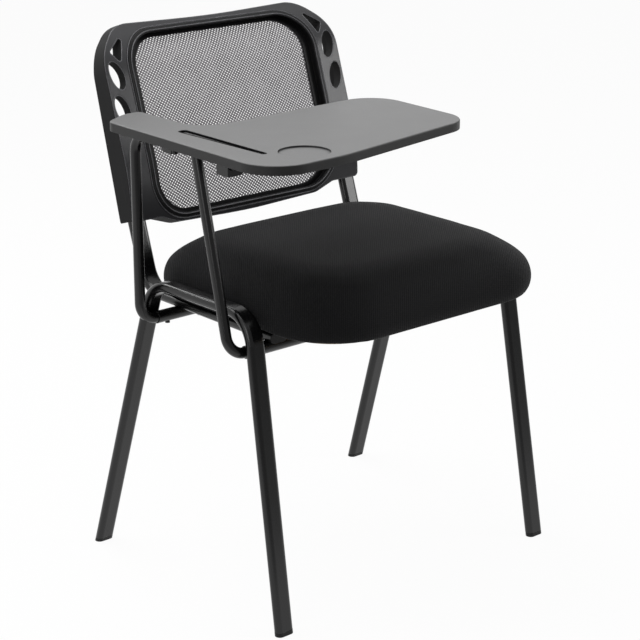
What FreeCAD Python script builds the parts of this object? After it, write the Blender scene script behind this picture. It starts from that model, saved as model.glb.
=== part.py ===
import FreeCAD, Part
import math
import operator
import os
from types import SimpleNamespace

import Sketcher
from FreeCAD import Placement, Rotation, Vector

# A stackable chair with a fold-up writing tablet on the sitter's right. Millimetres and degrees.
# +Z is up, the chair faces -Y and the sitter's right is -X. The sheet's places are measured from the
# chair's symmetry plane and its mid-foot line on the floor, and datum_x and datum_y put them in the
# part's frame.
SIZES = {
    # where the chair stands in the part's frame
    "datum_x": 18.4,
    "datum_y": -8.3,
    # stock tube: the flat oval of the legs and posts, the cross tubes and the round arm tube
    "oval_broad": 30,
    "oval_thin": 15,
    "oval_wall": 1.5,
    "cross_dia": 19,
    "cross_wall": 1.2,
    "arm_dia": 16,
    "arm_wall": 1.5,
    # clearances
    "weld_gap": 0.2,
    "cross_gap": 0.9,
    "plug_gap": 0.25,
    "rest_gap": 0.3,
    "bore_gap": 0.2,
    "pin_gap": 0.05,
    "side_gap": 0.4,
    # side frames: each lies in a plane that leans about an axis pointing back and up
    "foot_out": 7.6,
    "foot_y": 222,
    "rail_z": 465.5,
    "front_bend_y": -144.3,
    "rear_bend_y": 78.6,
    "side_bend": 50,
    "lean": 1.83,
    "cap_rise": 6,
    "cap_plug": 26,
    # cross tubes
    "cross_z": 410,
    "cross_half": 261.5,
    "end_plug": 18,
    "end_disc": 2,
    # back datum on the front face of the back, and the posts behind it
    "back_y": 158,
    "back_z": 532,
    "recline": 18.1,
    "post_inset": 46.5,
    "post_setback": 27.5,
    "post_bend": 46,
    "post_top": 118,
    "post_front": -154,
    # seat
    "seat_margin": 23.5,
    "seat_front": -282,
    "seat_back": 152.5,
    "seat_front_corner": 107,
    "seat_back_corner": 95,
    "board_inset": 16,
    "board_thick": 12,
    "board_front_corner": 90,
    "board_back_corner": 88,
    "cushion_rise": 85,
    "cushion_equator": 27,
    "cushion_tuck": 8,
    "cushion_crown": 95,
    "bolt_front": -100,
    "bolt_rear": 36,
    "bolt_inset": 7,
    "bolt_dia": 6,
    "bolt_head": 4.5,
    "bolt_flats": 11,
    "washer_dia": 14,
    "washer_thick": 1.4,
    "tee_barrel": 9,
    "tee_flange": 16,
    "tee_thick": 1.2,
    # back frame: front skin, rim and the roll at its top
    "wing_margin": 17,
    "skin": 3,
    "rim_wall": 2.5,
    "rim_depth": 50,
    "rim_turn": 258,
    "rim_turn_depth": 32.5,
    "rim_turn_round": 100,
    "lumbar_start": 100,
    "lumbar_radius": 300,
    "lumbar_angle": 20,
    "lumbar_tail": 30,
    "roll_start": 223.4,
    "roll_radius": 135,
    "roll_angle": 30.3,
    "roll_tail": 19.5,
    "roll_depth": 13.7,
    "top_dip": 303.6,
    "top_peak": 309.2,
    "top_corner_x": 50,
    "side_top": 49.2,
    "socket_end": 4,
    "socket_margin": 39,
    "chin_x": 92,
    "chin_end": -8.5,
    "chin_mid": -13,
    "wing_foot_round": 7,
    "wing_side_round": 76,
    "wing_top_round": 60,
    "top_dip_round": 2200,
    "socket_round": 14,
    "chin_round": 40,
    "chin_mid_round": 900,
    # wing holes, measured in from the wing's side and down from its top corner
    "oval_upper_x": 20,
    "oval_upper": 81.2,
    "oval_lower_x": 17,
    "oval_lower": 133.7,
    "oval_tilt": 14,
    "oval_long": 45,
    "oval_wide": 23.5,
    "vent_top_x": 53,
    "vent_top": 18.2,
    "vent_side_x": 19.5,
    "vent_side": 43.7,
    "vent_low_x": 32.5,
    "vent_low": 62.7,
    "vent_round": 3,
    "collar_wall": 2,
    "oval_collar_depth": 16.5,
    "vent_collar_depth": 23,
    # mesh ring: the opening in the back frame and the pieces in it, at depths behind the front face
    "ring_inset": 44,
    "ring_drop": 7.1,
    "ring_bottom": -4,
    "ring_corner": 66,
    "ring_wall": 3,
    "ring_step": 7.5,
    "ring_side": 20.5,
    "ring_head": 15,
    "ring_foot": 14,
    "bead_rise": 1.5,
    "flange_depth": 10,
    "flange_thick": 2.5,
    "mesh_thick": 1,
    "mesh_tuck": 10,
    "retainer_thick": 4,
    "ledge_thick": 3,
    "ledge_width": 9,
    "carrier_screw": 3,
    "carrier_screw_bite": 7,
    "carrier_head": 5.5,
    "carrier_head_rise": 1.8,
    "carrier_screw_low": 106,
    "carrier_screw_mid": 156,
    "carrier_screw_high": 206,
    "back_screw": 5,
    "back_head": 10,
    "back_head_rise": 3,
    "back_boss": 13,
    "back_screw_low": 35,
    "back_screw_high": 92,
    "back_screw_bite": 8,
    # arm
    "arm_out": 28.5,
    "arm_bend": 28,
    "arm_spigot": 42,
    "arm_bolt": 4,
    "arm_bolt_flats": 7,
    "arm_bolt_head": 2.8,
    "arm_nut": 3.2,
    "arm_split": 550,
    "arm_front": -213,
    "strut_lean": 13.4,
    # tablet outline, seen from above, with its widths measured from the arm's axis
    "tablet_z": 712,
    "tablet_rim": 13.5,
    "tablet_skin": 4,
    "tablet_wall": 4,
    "tablet_edge": 2.2,
    "outer_rear_x": -25,
    "outer_front_x": -37.5,
    "outer_rear_y": 110,
    "tail_x": 22,
    "tail_y": 137.5,
    "neck_x": 52.5,
    "inner_rear_x": 401,
    "inner_rear_y": 3,
    "neck_y": -13,
    "inner_front_x": 388,
    "inner_front_y": -219,
    "brow_x": 100,
    "brow_y": -272,
    "outer_front_y": -278,
    "outer_rear_round": 24,
    "outer_front_round": 60,
    "brow_round": 260,
    "inner_front_round": 55,
    "inner_rear_round": 56,
    "neck_round": 46,
    "tail_inner_round": 9,
    "tail_round": 40,
    "groove_x": 19,
    "groove_rear": -8,
    "groove_front": -198,
    "groove_wide": 16,
    "groove_tip": 9,
    "groove_deep": 2.6,
    "cup_x": 68,
    "cup_y": -221,
    "cup_dia": 73,
    "cup_deep": 2.4,
    "rib_thick": 2.5,
    "rib_deep": 7,
    "rib_outer": 140,
    "rib_mid": 230,
    "rib_inner": 320,
    # hinge: its axis lies outboard of and below the arm's top run, widths measured from the arm's axis
    "hinge_out": 14,
    "hinge_drop": 5.5,
    "ear_dia": 8,
    "hinge_pin": 4,
    "pin_head": 7,
    "pin_head_rise": 2,
    "clip_thick": 1.2,
    "ear_thick": 3,
    "leaf_thick": 2,
    "leaf_inner": 44,
    "leaf_outer": -23,
    "leaf_margin": 5,
    "front_block_y": -154.5,
    "front_block_long": 25,
    "rear_block_y": -25,
    "rear_block_long": 20,
    "front_block_out": 8,
    "front_block_in": 4,
    "front_block_low": 12,
    "rear_block_out": 4.5,
    "rear_block_in": 0,
    "rear_block_low": 4,
    "block_high": 10,
    "leaf_screw": 4,
    "leaf_head": 7,
    "leaf_head_rise": 2.2,
    "leaf_screw_x": 34,
    "leaf_screw_bite": 2.6,
    # rest plate with its bumpers
    "plate_inner": 102,
    "plate_front": -118,
    "plate_rear": -54,
    "plate_thick": 3,
    "bumper_dia": 16,
    "bumper_stem": 6,
    "bumper_x": 88,
}

doc = FreeCAD.newDocument("tablet_arm_chair")
sheet = doc.addObject("Spreadsheet::Sheet", "Sizes")
for row, (alias, number) in enumerate(SIZES.items(), start=1):
    sheet.set(f"A{row}", alias)
    sheet.set(f"B{row}", str(number))
    sheet.setAlias(f"B{row}", alias)
doc.recompute()


def joined(sign, work):
    """The two methods that join sizes with one sign, as text for the sheet and as a number."""

    def forward(self, other):
        other = as_size(other)
        return Size(f"({self.text} {sign} {other.text})", work(self.number, other.number))

    def backward(self, other):
        return forward(as_size(other), self)

    return forward, backward


class Size:
    """A number together with the sheet expression that it comes from."""

    __add__, __radd__ = joined("+", operator.add)
    __sub__, __rsub__ = joined("-", operator.sub)
    __mul__, __rmul__ = joined("*", operator.mul)
    __truediv__, __rtruediv__ = joined("/", operator.truediv)

    def __init__(self, text, number):
        self.text = text
        self.number = number

    def __neg__(self):
        return Size(f"(-{self.text})", -self.number)


def as_size(value):
    return value if isinstance(value, Size) else Size(repr(value), value)


def sin(angle):
    return Size(f"sin({angle.text})", math.sin(math.radians(angle.number)))


def cos(angle):
    return Size(f"cos({angle.text})", math.cos(math.radians(angle.number)))


def tan(angle):
    return Size(f"tan({angle.text})", math.tan(math.radians(angle.number)))


def slope_angle(rise, run):
    ratio = rise / run
    return Size(f"atan({ratio.text})", math.degrees(math.atan(ratio.number)))


def root(square):
    return Size(f"sqrt({square.text})", math.sqrt(square.number))


def larger(a, b):
    return Size(f"max({a.text}; {b.text})", max(a.number, b.number))


def smaller(a, b):
    return Size(f"min({a.text}; {b.text})", min(a.number, b.number))


s = SimpleNamespace(**{alias: Size(f"Sizes.{alias}", number) for alias, number in SIZES.items()})

# Widths follow the cross tubes, wing places follow its side and top corner, tablet places the arm
FROM_WING_SIDE = ("top_corner_x", "chin_x", "oval_upper_x", "oval_lower_x")
FROM_WING_SIDE += ("vent_top_x", "vent_side_x", "vent_low_x")
FROM_WING_TOP = ("side_top", "oval_upper", "oval_lower", "vent_top", "vent_side", "vent_low")
FROM_ARM = ("outer_rear_x", "outer_front_x", "tail_x", "neck_x", "inner_rear_x", "inner_front_x", "brow_x")
FROM_ARM += ("groove_x", "cup_x", "rib_outer", "rib_mid", "rib_inner", "leaf_inner", "leaf_outer")
FROM_ARM += ("leaf_screw_x", "plate_inner", "bumper_x")
s.foot_x = s.cross_half + s.foot_out
s.post_x = s.cross_half - s.post_inset
s.arm_x = -s.cross_half - s.arm_out
s.seat_half = s.post_x + s.seat_margin
s.wing_half = s.post_x + s.wing_margin
s.socket_inner = s.post_x - s.socket_margin
s.ring_half = s.wing_half - s.ring_inset
s.ring_top = smaller(s.top_dip, s.top_peak) - s.ring_drop
for alias in FROM_WING_SIDE:
    setattr(s, alias, s.wing_half - getattr(s, alias))
for alias in FROM_WING_TOP:
    setattr(s, alias, s.top_peak - getattr(s, alias))
for alias in FROM_ARM:
    setattr(s, alias, s.arm_x + getattr(s, alias))

ZERO = as_size(0)
SIDES = (("right", -1), ("left", 1))
LEAN_AXIS = Vector(0, 0.7727, 0.6347)
MITRE = 0.7
SLANT_MITRE = 0.4
VENT_COLLAR_SPREAD = 1.25
TURNS = {"x": Rotation(Vector(0, 1, 0), 90), "y": Rotation(Vector(1, 0, 0), -90), "z": Rotation()}
nodes = {}


def place(thing, x=ZERO, y=ZERO, z=ZERO, rotation=None, angle=None):
    """Puts a thing at (x, y, z), turned by a fixed rotation whose angle may come from the sheet."""
    thing.Placement = Placement(Vector(), rotation or Rotation())
    for axis, value in zip("xyz", (x, y, z)):
        thing.setExpression(f"Placement.Base.{axis}", as_size(value).text)
    if angle is not None:
        thing.setExpression("Placement.Rotation.Angle", angle.text)
    return thing


def in_chair(thing, x=ZERO, y=ZERO, z=ZERO, rotation=None, angle=None):
    """Places a thing by the chair's own symmetry plane and mid-foot line."""
    return place(thing, s.datum_x + x, s.datum_y + y, z, rotation, angle)


def node(label, thing):
    thing.Label = label
    nodes[label] = thing
    return thing


# Sketch helpers


def tie(sketch, geometry, point, x, y):
    """Ties one point of a sketch to (x, y) from the sketch's origin."""
    for kind, axis, value in (("DistanceX", -2, as_size(x)), ("DistanceY", -1, as_size(y))):
        if abs(value.number) < 1e-9:
            sketch.addConstraint(Sketcher.Constraint("PointOnObject", geometry, point, axis))
            continue
        ends = (-1, 1, geometry, point) if value.number > 0 else (geometry, point, -1, 1)
        index = sketch.addConstraint(Sketcher.Constraint(kind, *ends, abs(value.number)))
        text = value.text if value.number > 0 else f"-{value.text}"
        sketch.setExpression(f"Constraints[{index}]", text)


def size_constraint(sketch, kind, geometry, value):
    index = sketch.addConstraint(Sketcher.Constraint(kind, geometry, value.number))
    sketch.setExpression(f"Constraints[{index}]", value.text)


def trace(sketch, corners, closed=True):
    """Draws straight runs through corners (x, y) or (x, y, radius), with a tangent arc at each radius."""
    points = [Vector(as_size(c[0]).number, as_size(c[1]).number, 0) for c in corners]
    count = len(corners)
    starts = list(points)
    ends = list(points)
    arcs = {}
    for i, corner in enumerate(corners):
        if len(corner) < 3:
            continue
        back = (points[i - 1] - points[i]).normalize()
        ahead = (points[(i + 1) % count] - points[i]).normalize()
        half = back.getAngle(ahead) / 2
        radius = as_size(corner[2]).number
        reach = radius / math.tan(half)
        middle = points[i] + (back + ahead).normalize() * (radius / math.sin(half) - radius)
        ends[i] = points[i] + back * reach
        starts[i] = points[i] + ahead * reach
        arcs[i] = (sketch.addGeometry(Part.Arc(ends[i], middle, starts[i])), back.cross(ahead).z < 0)
    runs = [
        sketch.addGeometry(Part.LineSegment(starts[i], ends[(i + 1) % count]))
        for i in range(count if closed else count - 1)
    ]
    for i, corner in enumerate(corners):
        before = runs[i - 1] if closed or i > 0 else None
        after = runs[i] if i < len(runs) else None
        if i in arcs:
            arc, left_turn = arcs[i]
            first, last = (1, 2) if left_turn else (2, 1)
            sketch.addConstraint(Sketcher.Constraint("Tangent", before, 2, arc, first))
            sketch.addConstraint(Sketcher.Constraint("Tangent", after, 1, arc, last))
            size_constraint(sketch, "Radius", arc, as_size(corner[2]))
            tip = sketch.addGeometry(Part.Point(points[i]), True)
            sketch.addConstraint(Sketcher.Constraint("PointOnObject", tip, 1, before))
            sketch.addConstraint(Sketcher.Constraint("PointOnObject", tip, 1, after))
            tie(sketch, tip, 1, corner[0], corner[1])
            continue
        if before is not None and after is not None:
            sketch.addConstraint(Sketcher.Constraint("Coincident", before, 2, after, 1))
        if after is not None:
            tie(sketch, after, 1, corner[0], corner[1])
        else:
            tie(sketch, before, 2, corner[0], corner[1])


def circle(sketch, x, y, diameter):
    centre = Vector(as_size(x).number, as_size(y).number, 0)
    ring = sketch.addGeometry(Part.Circle(centre, Vector(0, 0, 1), diameter.number / 2))
    tie(sketch, ring, 3, x, y)
    size_constraint(sketch, "Diameter", ring, diameter)


def oval_section(sketch, broad, thin):
    """A flat oval centred on the sketch's origin, broad along its first axis."""
    reach = (broad - thin) / 2
    across = Vector(0, thin.number / 2, 0)
    near = Vector(-reach.number, 0, 0)
    far = Vector(reach.number, 0, 0)
    bulge = Vector(thin.number / 2, 0, 0)
    left = sketch.addGeometry(Part.Arc(near + across, near - bulge, near - across))
    lower = sketch.addGeometry(Part.LineSegment(near - across, far - across))
    right = sketch.addGeometry(Part.Arc(far - across, far + bulge, far + across))
    upper = sketch.addGeometry(Part.LineSegment(far + across, near + across))
    loop = (left, lower, right, upper)
    for i, edge in enumerate(loop):
        sketch.addConstraint(Sketcher.Constraint("Tangent", edge, 2, loop[(i + 1) % 4], 1))
    sketch.addConstraint(Sketcher.Constraint("Equal", left, right))
    size_constraint(sketch, "Radius", left, thin / 2)
    tie(sketch, left, 3, -reach, 0)
    tie(sketch, right, 3, reach, 0)


def tube_section(sketch, broad, thin, wall):
    oval_section(sketch, broad, thin)
    oval_section(sketch, broad - wall * 2, thin - wall * 2)


def new_body(name):
    return doc.addObject("PartDesign::Body", name)


def sketch_in(body, name, role, offset=ZERO):
    """A sketch on one of a body's own origin planes, moved along its normal."""
    sketch = body.newObject("Sketcher::SketchObject", name)
    plane = next(f for f in body.Origin.OriginFeatures if f.Role == role)
    sketch.AttachmentSupport = (plane, [""])
    sketch.MapMode = "FlatFace"
    sketch.setExpression("AttachmentOffset.Base.z", as_size(offset).text)
    return sketch


def pipe(body, name, profile, spine):
    sweep = body.newObject("PartDesign::AdditivePipe", name)
    sweep.Profile = profile
    sweep.Spine = spine
    return sweep


def pad(body, name, sketch, length, kind="PartDesign::Pad", reverse=False):
    feature = body.newObject(kind, name)
    feature.Profile = sketch
    feature.setExpression("Length", length.text)
    feature.Reversed = reverse
    return feature


# Helpers for primitives and booleans


def cylinder(name, diameter, height, x=ZERO, y=ZERO, z=ZERO, along="z"):
    solid = doc.addObject("Part::Cylinder", name)
    solid.setExpression("Radius", (diameter / 2).text)
    solid.setExpression("Height", height.text)
    return place(solid, x, y, z, TURNS[along])


def block(name, x, y, z):
    """A box between two values on each axis."""
    solid = doc.addObject("Part::Box", name)
    for side, (low, high) in zip(("Length", "Width", "Height"), (x, y, z)):
        solid.setExpression(side, (high - low).text)
    return place(solid, x[0], y[0], z[0])


def hexagon(name, flats, height, x=ZERO, y=ZERO, z=ZERO):
    solid = doc.addObject("Part::Prism", name)
    solid.Polygon = 6
    solid.setExpression("Circumradius", (flats / math.sqrt(3)).text)
    solid.setExpression("Height", height.text)
    return place(solid, x, y, z)


def fuse(name, shapes):
    thing = doc.addObject("Part::MultiFuse", name)
    thing.Shapes = shapes
    return thing


def common(name, shapes):
    thing = doc.addObject("Part::MultiCommon", name)
    thing.Shapes = shapes
    return thing


def cut(name, base, tools):
    thing = doc.addObject("Part::Cut", name)
    thing.Base = base
    thing.Tool = tools[0] if len(tools) == 1 else fuse(f"{name}_tools", tools)
    return thing


def group(name, shapes):
    thing = doc.addObject("Part::Compound", name)
    thing.Links = shapes
    return thing


def extrude(name, sketch, forward, symmetric=False):
    thing = doc.addObject("Part::Extrusion", name)
    thing.Base = sketch
    thing.DirMode = "Normal"
    thing.Solid = True
    thing.Symmetric = symmetric
    thing.setExpression("LengthFwd", forward.text)
    return thing


def free_sketch(name):
    return doc.addObject("Sketcher::SketchObject", name)


# Places that several pieces share

front_rake = slope_angle(s.front_bend_y + s.foot_y, s.rail_z)
rear_rake = slope_angle(s.foot_y - s.rear_bend_y, s.rail_z)
front_cross_y = (
    (s.front_bend_y + s.foot_y) * s.cross_z / s.rail_z
    - s.foot_y
    + s.oval_thin / 2 / cos(front_rake)
    + s.cross_dia / 2
    + s.cross_gap
)
rear_cross_y = (
    s.foot_y
    - (s.foot_y - s.rear_bend_y) * s.cross_z / s.rail_z
    - s.oval_thin / 2 / cos(rear_rake)
    - s.cross_dia / 2
    - s.cross_gap
)
run_z = s.cross_z + s.cross_dia / 2 + s.weld_gap + s.oval_thin / 2
board_z = run_z + s.oval_thin / 2 + s.weld_gap
arm_run_z = s.tablet_z - s.tablet_skin - s.leaf_thick - s.weld_gap - s.rest_gap - s.arm_dia / 2
hinge_x = s.arm_x - s.hinge_out
hinge_z = arm_run_z - s.hinge_drop
BACK_TURN = Rotation(Vector(1, 0, 0), 90 - SIZES["recline"])
back_turn_angle = 90 - s.recline


def in_back(thing):
    """Places a thing made in the back's frame: X across, Y up the back, Z out of its front face."""
    return in_chair(thing, ZERO, s.back_y, s.back_z, BACK_TURN, back_turn_angle)


# Side frames and their feet


def side_frame(side, sign):
    body = new_body(f"side_tube_{side}")
    path = sketch_in(body, f"side_path_{side}", "YZ_Plane")
    corners = [
        (-s.foot_y, ZERO),
        (s.front_bend_y, s.rail_z, s.side_bend),
        (s.rear_bend_y, s.rail_z, s.side_bend),
        (s.foot_y, ZERO),
    ]
    trace(path, corners, closed=False)
    profile = sketch_in(body, f"side_profile_{side}", "XY_Plane")
    profile.AttachmentOffset = Placement(Vector(), Rotation(Vector(1, 0, 0), 1))
    profile.setExpression("AttachmentOffset.Base.y", (-s.foot_y).text)
    profile.setExpression("AttachmentOffset.Rotation.Angle", (-front_rake).text)
    tube_section(profile, s.oval_broad, s.oval_thin, s.oval_wall)
    pipe(body, f"side_pipe_{side}", profile, path)
    angle = s.lean * -sign
    in_chair(body, s.foot_x * sign, rotation=Rotation(LEAN_AXIS, angle.number), angle=angle)
    reach = s.foot_y * 2
    floor = block(f"floor_cut_{side}", (-reach, reach), (-reach, reach), (-s.oval_broad, s.cap_rise))
    node(f"side_frame_{side}", cut(f"side_frame_{side}", body, [floor]))


def foot_cap(end, forward, side, sign):
    """A cap under a leg and its plug inside, both following the leg's own line."""
    rake = front_rake if forward < 0 else rear_rake
    tilt = tan(s.lean) * sign
    foot_x = s.foot_x * sign + tilt * LEAN_AXIS.z * s.foot_y * forward
    lean_x = tilt * (-LEAN_AXIS.y) - tilt * LEAN_AXIS.z * tan(rake) * forward
    rise_y = tan(rake) * -forward
    pieces = []
    for name, shrink, height in (
        ("base", ZERO, s.cap_rise),
        ("plug", (s.oval_wall + s.plug_gap) * 2, s.cap_rise + s.cap_plug),
    ):
        sketch = free_sketch(f"cap_{name}_{end}_{side}")
        oval_section(sketch, s.oval_broad - shrink, (s.oval_thin - shrink) / cos(rake))
        solid = doc.addObject("Part::Extrusion", f"cap_solid_{name}_{end}_{side}")
        solid.Base = sketch
        solid.DirMode = "Custom"
        solid.Solid = True
        solid.setExpression("Dir.x", lean_x.text)
        solid.setExpression("Dir.y", rise_y.text)
        solid.setExpression("Dir.z", as_size(1).text)
        length = height * root(1 + lean_x * lean_x + rise_y * rise_y)
        solid.setExpression("LengthFwd", length.text)
        pieces.append(solid)
    cap = fuse(f"foot_cap_{end}_{side}", pieces)
    in_chair(cap, foot_x, s.foot_y * forward)
    node(f"foot_cap_{end}_{side}", cap)


# Cross tubes


def cross_tube(name, y, bolt_x):
    outer = cylinder(f"{name}_outer", s.cross_dia, s.cross_half * 2, -s.cross_half, along="x")
    bore_dia = s.cross_dia - s.cross_wall * 2
    bore = cylinder(f"{name}_bore", bore_dia, s.cross_half * 2, -s.cross_half, along="x")
    hole = cylinder(f"{name}_hole", s.arm_bolt + s.bore_gap * 2, s.cross_dia, bolt_x, ZERO, -s.cross_dia)
    node(name, in_chair(cut(name, outer, [bore, hole]), ZERO, y, s.cross_z))


def cross_plugs():
    plugs = []
    for name, y in (("front", front_cross_y), ("rear", rear_cross_y)):
        plug_dia = s.cross_dia - s.cross_wall * 2 - s.plug_gap * 2
        disc = cylinder(f"{name}_plug_disc", s.cross_dia, s.end_disc, ZERO, along="x")
        stem = cylinder(f"{name}_plug_stem", plug_dia, s.end_plug, -s.end_plug, along="x")
        plug = fuse(f"{name}_plug", [disc, stem])
        plugs.append(place(plug, s.cross_half, y, s.cross_z))
    node("cross_tube_plugs", in_chair(group("cross_tube_plugs", plugs)))


# Back posts, whose lower runs carry the seat


def post_point(height):
    """Where the post's centre line is, at a height up the back: y and z in the chair."""
    y = s.back_y + s.post_setback * cos(s.recline) + height * sin(s.recline)
    z = s.back_z - s.post_setback * sin(s.recline) + height * cos(s.recline)
    return y, z


def back_post(side, sign):
    body = new_body(f"post_tube_{side}")
    path = sketch_in(body, f"post_path_{side}", "YZ_Plane")
    top_y, top_z = post_point(s.post_top)
    corner_y = top_y - (top_z - run_z) * tan(s.recline)
    trace(path, [(s.post_front, run_z), (corner_y, run_z, s.post_bend), (top_y, top_z)], closed=False)
    profile = sketch_in(body, f"post_profile_{side}", "XZ_Plane", -s.post_front)
    profile.setExpression("AttachmentOffset.Base.y", run_z.text)
    tube_section(profile, s.oval_broad, s.oval_thin, s.oval_wall)
    pipe(body, f"post_pipe_{side}", profile, path)
    tools = []
    for i, y in enumerate((s.bolt_front, s.bolt_rear)):
        dia = s.bolt_dia + s.bore_gap * 2
        low = run_z - s.oval_thin
        x = s.bolt_inset * -sign
        tools.append(cylinder(f"post_bolt_hole_{side}_{i}", dia, s.oval_thin * 2, x, y, low))
    for i, height in enumerate((s.back_screw_low, s.back_screw_high)):
        y, z = post_point(height)
        dia = s.back_screw + s.bore_gap * 2
        hole = cylinder(f"post_screw_hole_{side}_{i}", dia, s.oval_thin * 2)
        reach_y = y + s.oval_thin * cos(s.recline)
        reach_z = z - s.oval_thin * sin(s.recline)
        tools.append(place(hole, ZERO, reach_y, reach_z, BACK_TURN, back_turn_angle))
    node(f"back_post_{side}", in_chair(cut(f"back_post_{side}", body, tools), s.post_x * sign))


def post_plugs():
    plugs = []
    for side, sign in SIDES:
        pieces = []
        for name, shrink, length in (
            ("disc", ZERO, s.end_disc),
            ("stem", (s.oval_wall + s.plug_gap) * 2, s.end_plug + s.end_disc),
        ):
            sketch = free_sketch(f"post_plug_{name}_{side}")
            oval_section(sketch, s.oval_broad - shrink, s.oval_thin - shrink)
            pieces.append(extrude(f"post_plug_solid_{name}_{side}", sketch, length))
        plug = fuse(f"post_plug_{side}", pieces)
        plugs.append(place(plug, s.post_x * sign, s.post_front - s.end_disc, run_z, TURNS["y"]))
    node("post_plugs", in_chair(group("post_plugs", plugs)))


# Seat


def seat_outline(sketch, inset, front_corner, back_corner):
    half = s.seat_half - inset
    front = s.seat_front + inset
    back = s.seat_back - inset
    corners = [
        (-half, front, front_corner),
        (half, front, front_corner),
        (half, back, back_corner),
        (-half, back, back_corner),
    ]
    trace(sketch, corners)


def bolt_places():
    for side, sign in SIDES:
        for end, y in (("front", s.bolt_front), ("rear", s.bolt_rear)):
            yield f"{end}_{side}", (s.post_x - s.bolt_inset) * sign, y


def seat_board():
    body = new_body("board_slab")
    sketch = sketch_in(body, "board_sketch", "XY_Plane", board_z)
    seat_outline(sketch, s.board_inset, s.board_front_corner, s.board_back_corner)
    pad(body, "board_pad", sketch, s.board_thick)
    tools = []
    for name, x, y in bolt_places():
        barrel = s.tee_barrel + s.bore_gap * 2
        tools.append(cylinder(f"board_bore_{name}", barrel, s.board_thick * 2, x, y, board_z - s.tee_thick))
        seat_dia = s.tee_flange + s.bore_gap * 2
        seat_z = board_z + s.board_thick - s.tee_thick
        tools.append(cylinder(f"board_seat_{name}", seat_dia, s.tee_thick * 2, x, y, seat_z))
    node("seat_board", in_chair(cut("seat_board", body, tools)))


def seat_cushion():
    """A crowned pad with drawn-in sides, lofted through level outlines, hollowed under for the board."""
    body = new_body("cushion_form")
    steps_below = (1, 0.6, 0)
    steps_above = (0.4, 0.7, 0.9, 1)
    levels = [(-step, s.cushion_tuck, s.cushion_equator) for step in steps_below]
    levels += [(step, s.cushion_crown, s.cushion_rise - s.cushion_equator) for step in steps_above]
    sections = []
    for i, (step, most, span) in enumerate(levels):
        drawn_in = 1 - math.sqrt(1 - step * step)
        level = board_z + s.weld_gap + s.cushion_equator + span * step
        sketch = sketch_in(body, f"cushion_level_{i}", "XY_Plane", level)
        inset = most * drawn_in
        corner_loss = inset * SLANT_MITRE
        seat_outline(sketch, inset, s.seat_front_corner - corner_loss, s.seat_back_corner - corner_loss)
        sections.append(sketch)
    loft = body.newObject("PartDesign::AdditiveLoft", "cushion_loft")
    loft.Profile = sections[0]
    loft.Sections = sections[1:]
    room = new_body("cushion_room")
    sketch = sketch_in(room, "cushion_room_sketch", "XY_Plane", board_z - s.board_thick)
    seat_outline(sketch, s.board_inset - s.rest_gap, s.board_front_corner, s.board_back_corner)
    pad(room, "cushion_room_pad", sketch, s.board_thick * 2 + s.rest_gap)
    node("seat_cushion", in_chair(cut("seat_cushion", body, [room])))


def seat_fasteners():
    bolts = []
    washers = []
    tee_nuts = []
    under = run_z - s.oval_thin / 2 - s.weld_gap
    for name, x, y in bolt_places():
        head_z = under - s.washer_thick - s.weld_gap - s.bolt_head
        length = s.bolt_head + s.washer_thick + s.oval_thin + s.board_thick
        head = hexagon(f"seat_bolt_head_{name}", s.bolt_flats, s.bolt_head)
        shank = cylinder(f"seat_bolt_shank_{name}", s.bolt_dia, length)
        bolts.append(place(fuse(f"seat_bolt_{name}", [head, shank]), x, y, head_z))
        disc = cylinder(f"washer_disc_{name}", s.washer_dia, s.washer_thick)
        hole = cylinder(f"washer_hole_{name}", s.bolt_dia + s.bore_gap * 2, s.washer_thick)
        washers.append(place(cut(f"washer_{name}", disc, [hole]), x, y, under - s.washer_thick))
        barrel = cylinder(f"tee_barrel_{name}", s.tee_barrel, s.board_thick)
        seat = s.board_thick - s.tee_thick
        flange = cylinder(f"tee_flange_{name}", s.tee_flange, s.tee_thick, ZERO, ZERO, seat)
        thread = cylinder(f"tee_thread_{name}", s.bolt_dia + s.bore_gap * 2, s.board_thick)
        tee = cut(f"tee_nut_{name}", fuse(f"tee_{name}", [barrel, flange]), [thread])
        tee_nuts.append(place(tee, x, y, board_z))
    for label, solids in (("seat_bolts", bolts), ("seat_washers", washers), ("seat_tee_nuts", tee_nuts)):
        node(label, in_chair(group(label, solids)))


# Back: every piece is a bent slab, flat below and rolled rearwards at the top, trimmed by outlines


roll_end_v = s.roll_start + s.roll_radius * sin(s.roll_angle)
roll_reach = (larger(s.top_dip, s.top_peak) - roll_end_v) / cos(s.roll_angle) + s.roll_tail


def roll_line(depth):
    """The bend and the end of the rolled surface at a depth behind the back's front face."""
    radius = s.roll_radius - depth
    reach = radius * tan(s.roll_angle / 2)
    bend_v = s.roll_start + reach
    end_v = bend_v + (reach + roll_reach) * cos(s.roll_angle)
    end_w = -depth - (reach + roll_reach) * sin(s.roll_angle)
    return [(bend_v, -depth, radius), (end_v, end_w)]


def lumbar_line(depth):
    """The lower end and the lumbar bend at a depth behind the back's front face."""
    radius = s.lumbar_radius - depth
    reach = radius * tan(s.lumbar_angle / 2)
    bend_v = s.lumbar_start - reach
    end_v = bend_v - (reach + s.lumbar_tail) * cos(s.lumbar_angle)
    end_w = -depth - (reach + s.lumbar_tail) * sin(s.lumbar_angle)
    return [(end_v, end_w), (bend_v, -depth, radius)]


def layer_line(depth):
    return lumbar_line(as_size(depth)) + roll_line(as_size(depth))


def slab(name, front_line, rear_line):
    """The layer of the back between two lines seen from the side."""
    sketch = free_sketch(f"{name}_section")
    sketch.Placement = Placement(Vector(), Rotation(Vector(1, 1, 1), 120))
    trace(sketch, front_line + rear_line[::-1])
    return extrude(f"{name}_slab", sketch, s.wing_half * 3, symmetric=True)


def layer(name, front, rear):
    return slab(name, layer_line(front), layer_line(rear))


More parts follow.
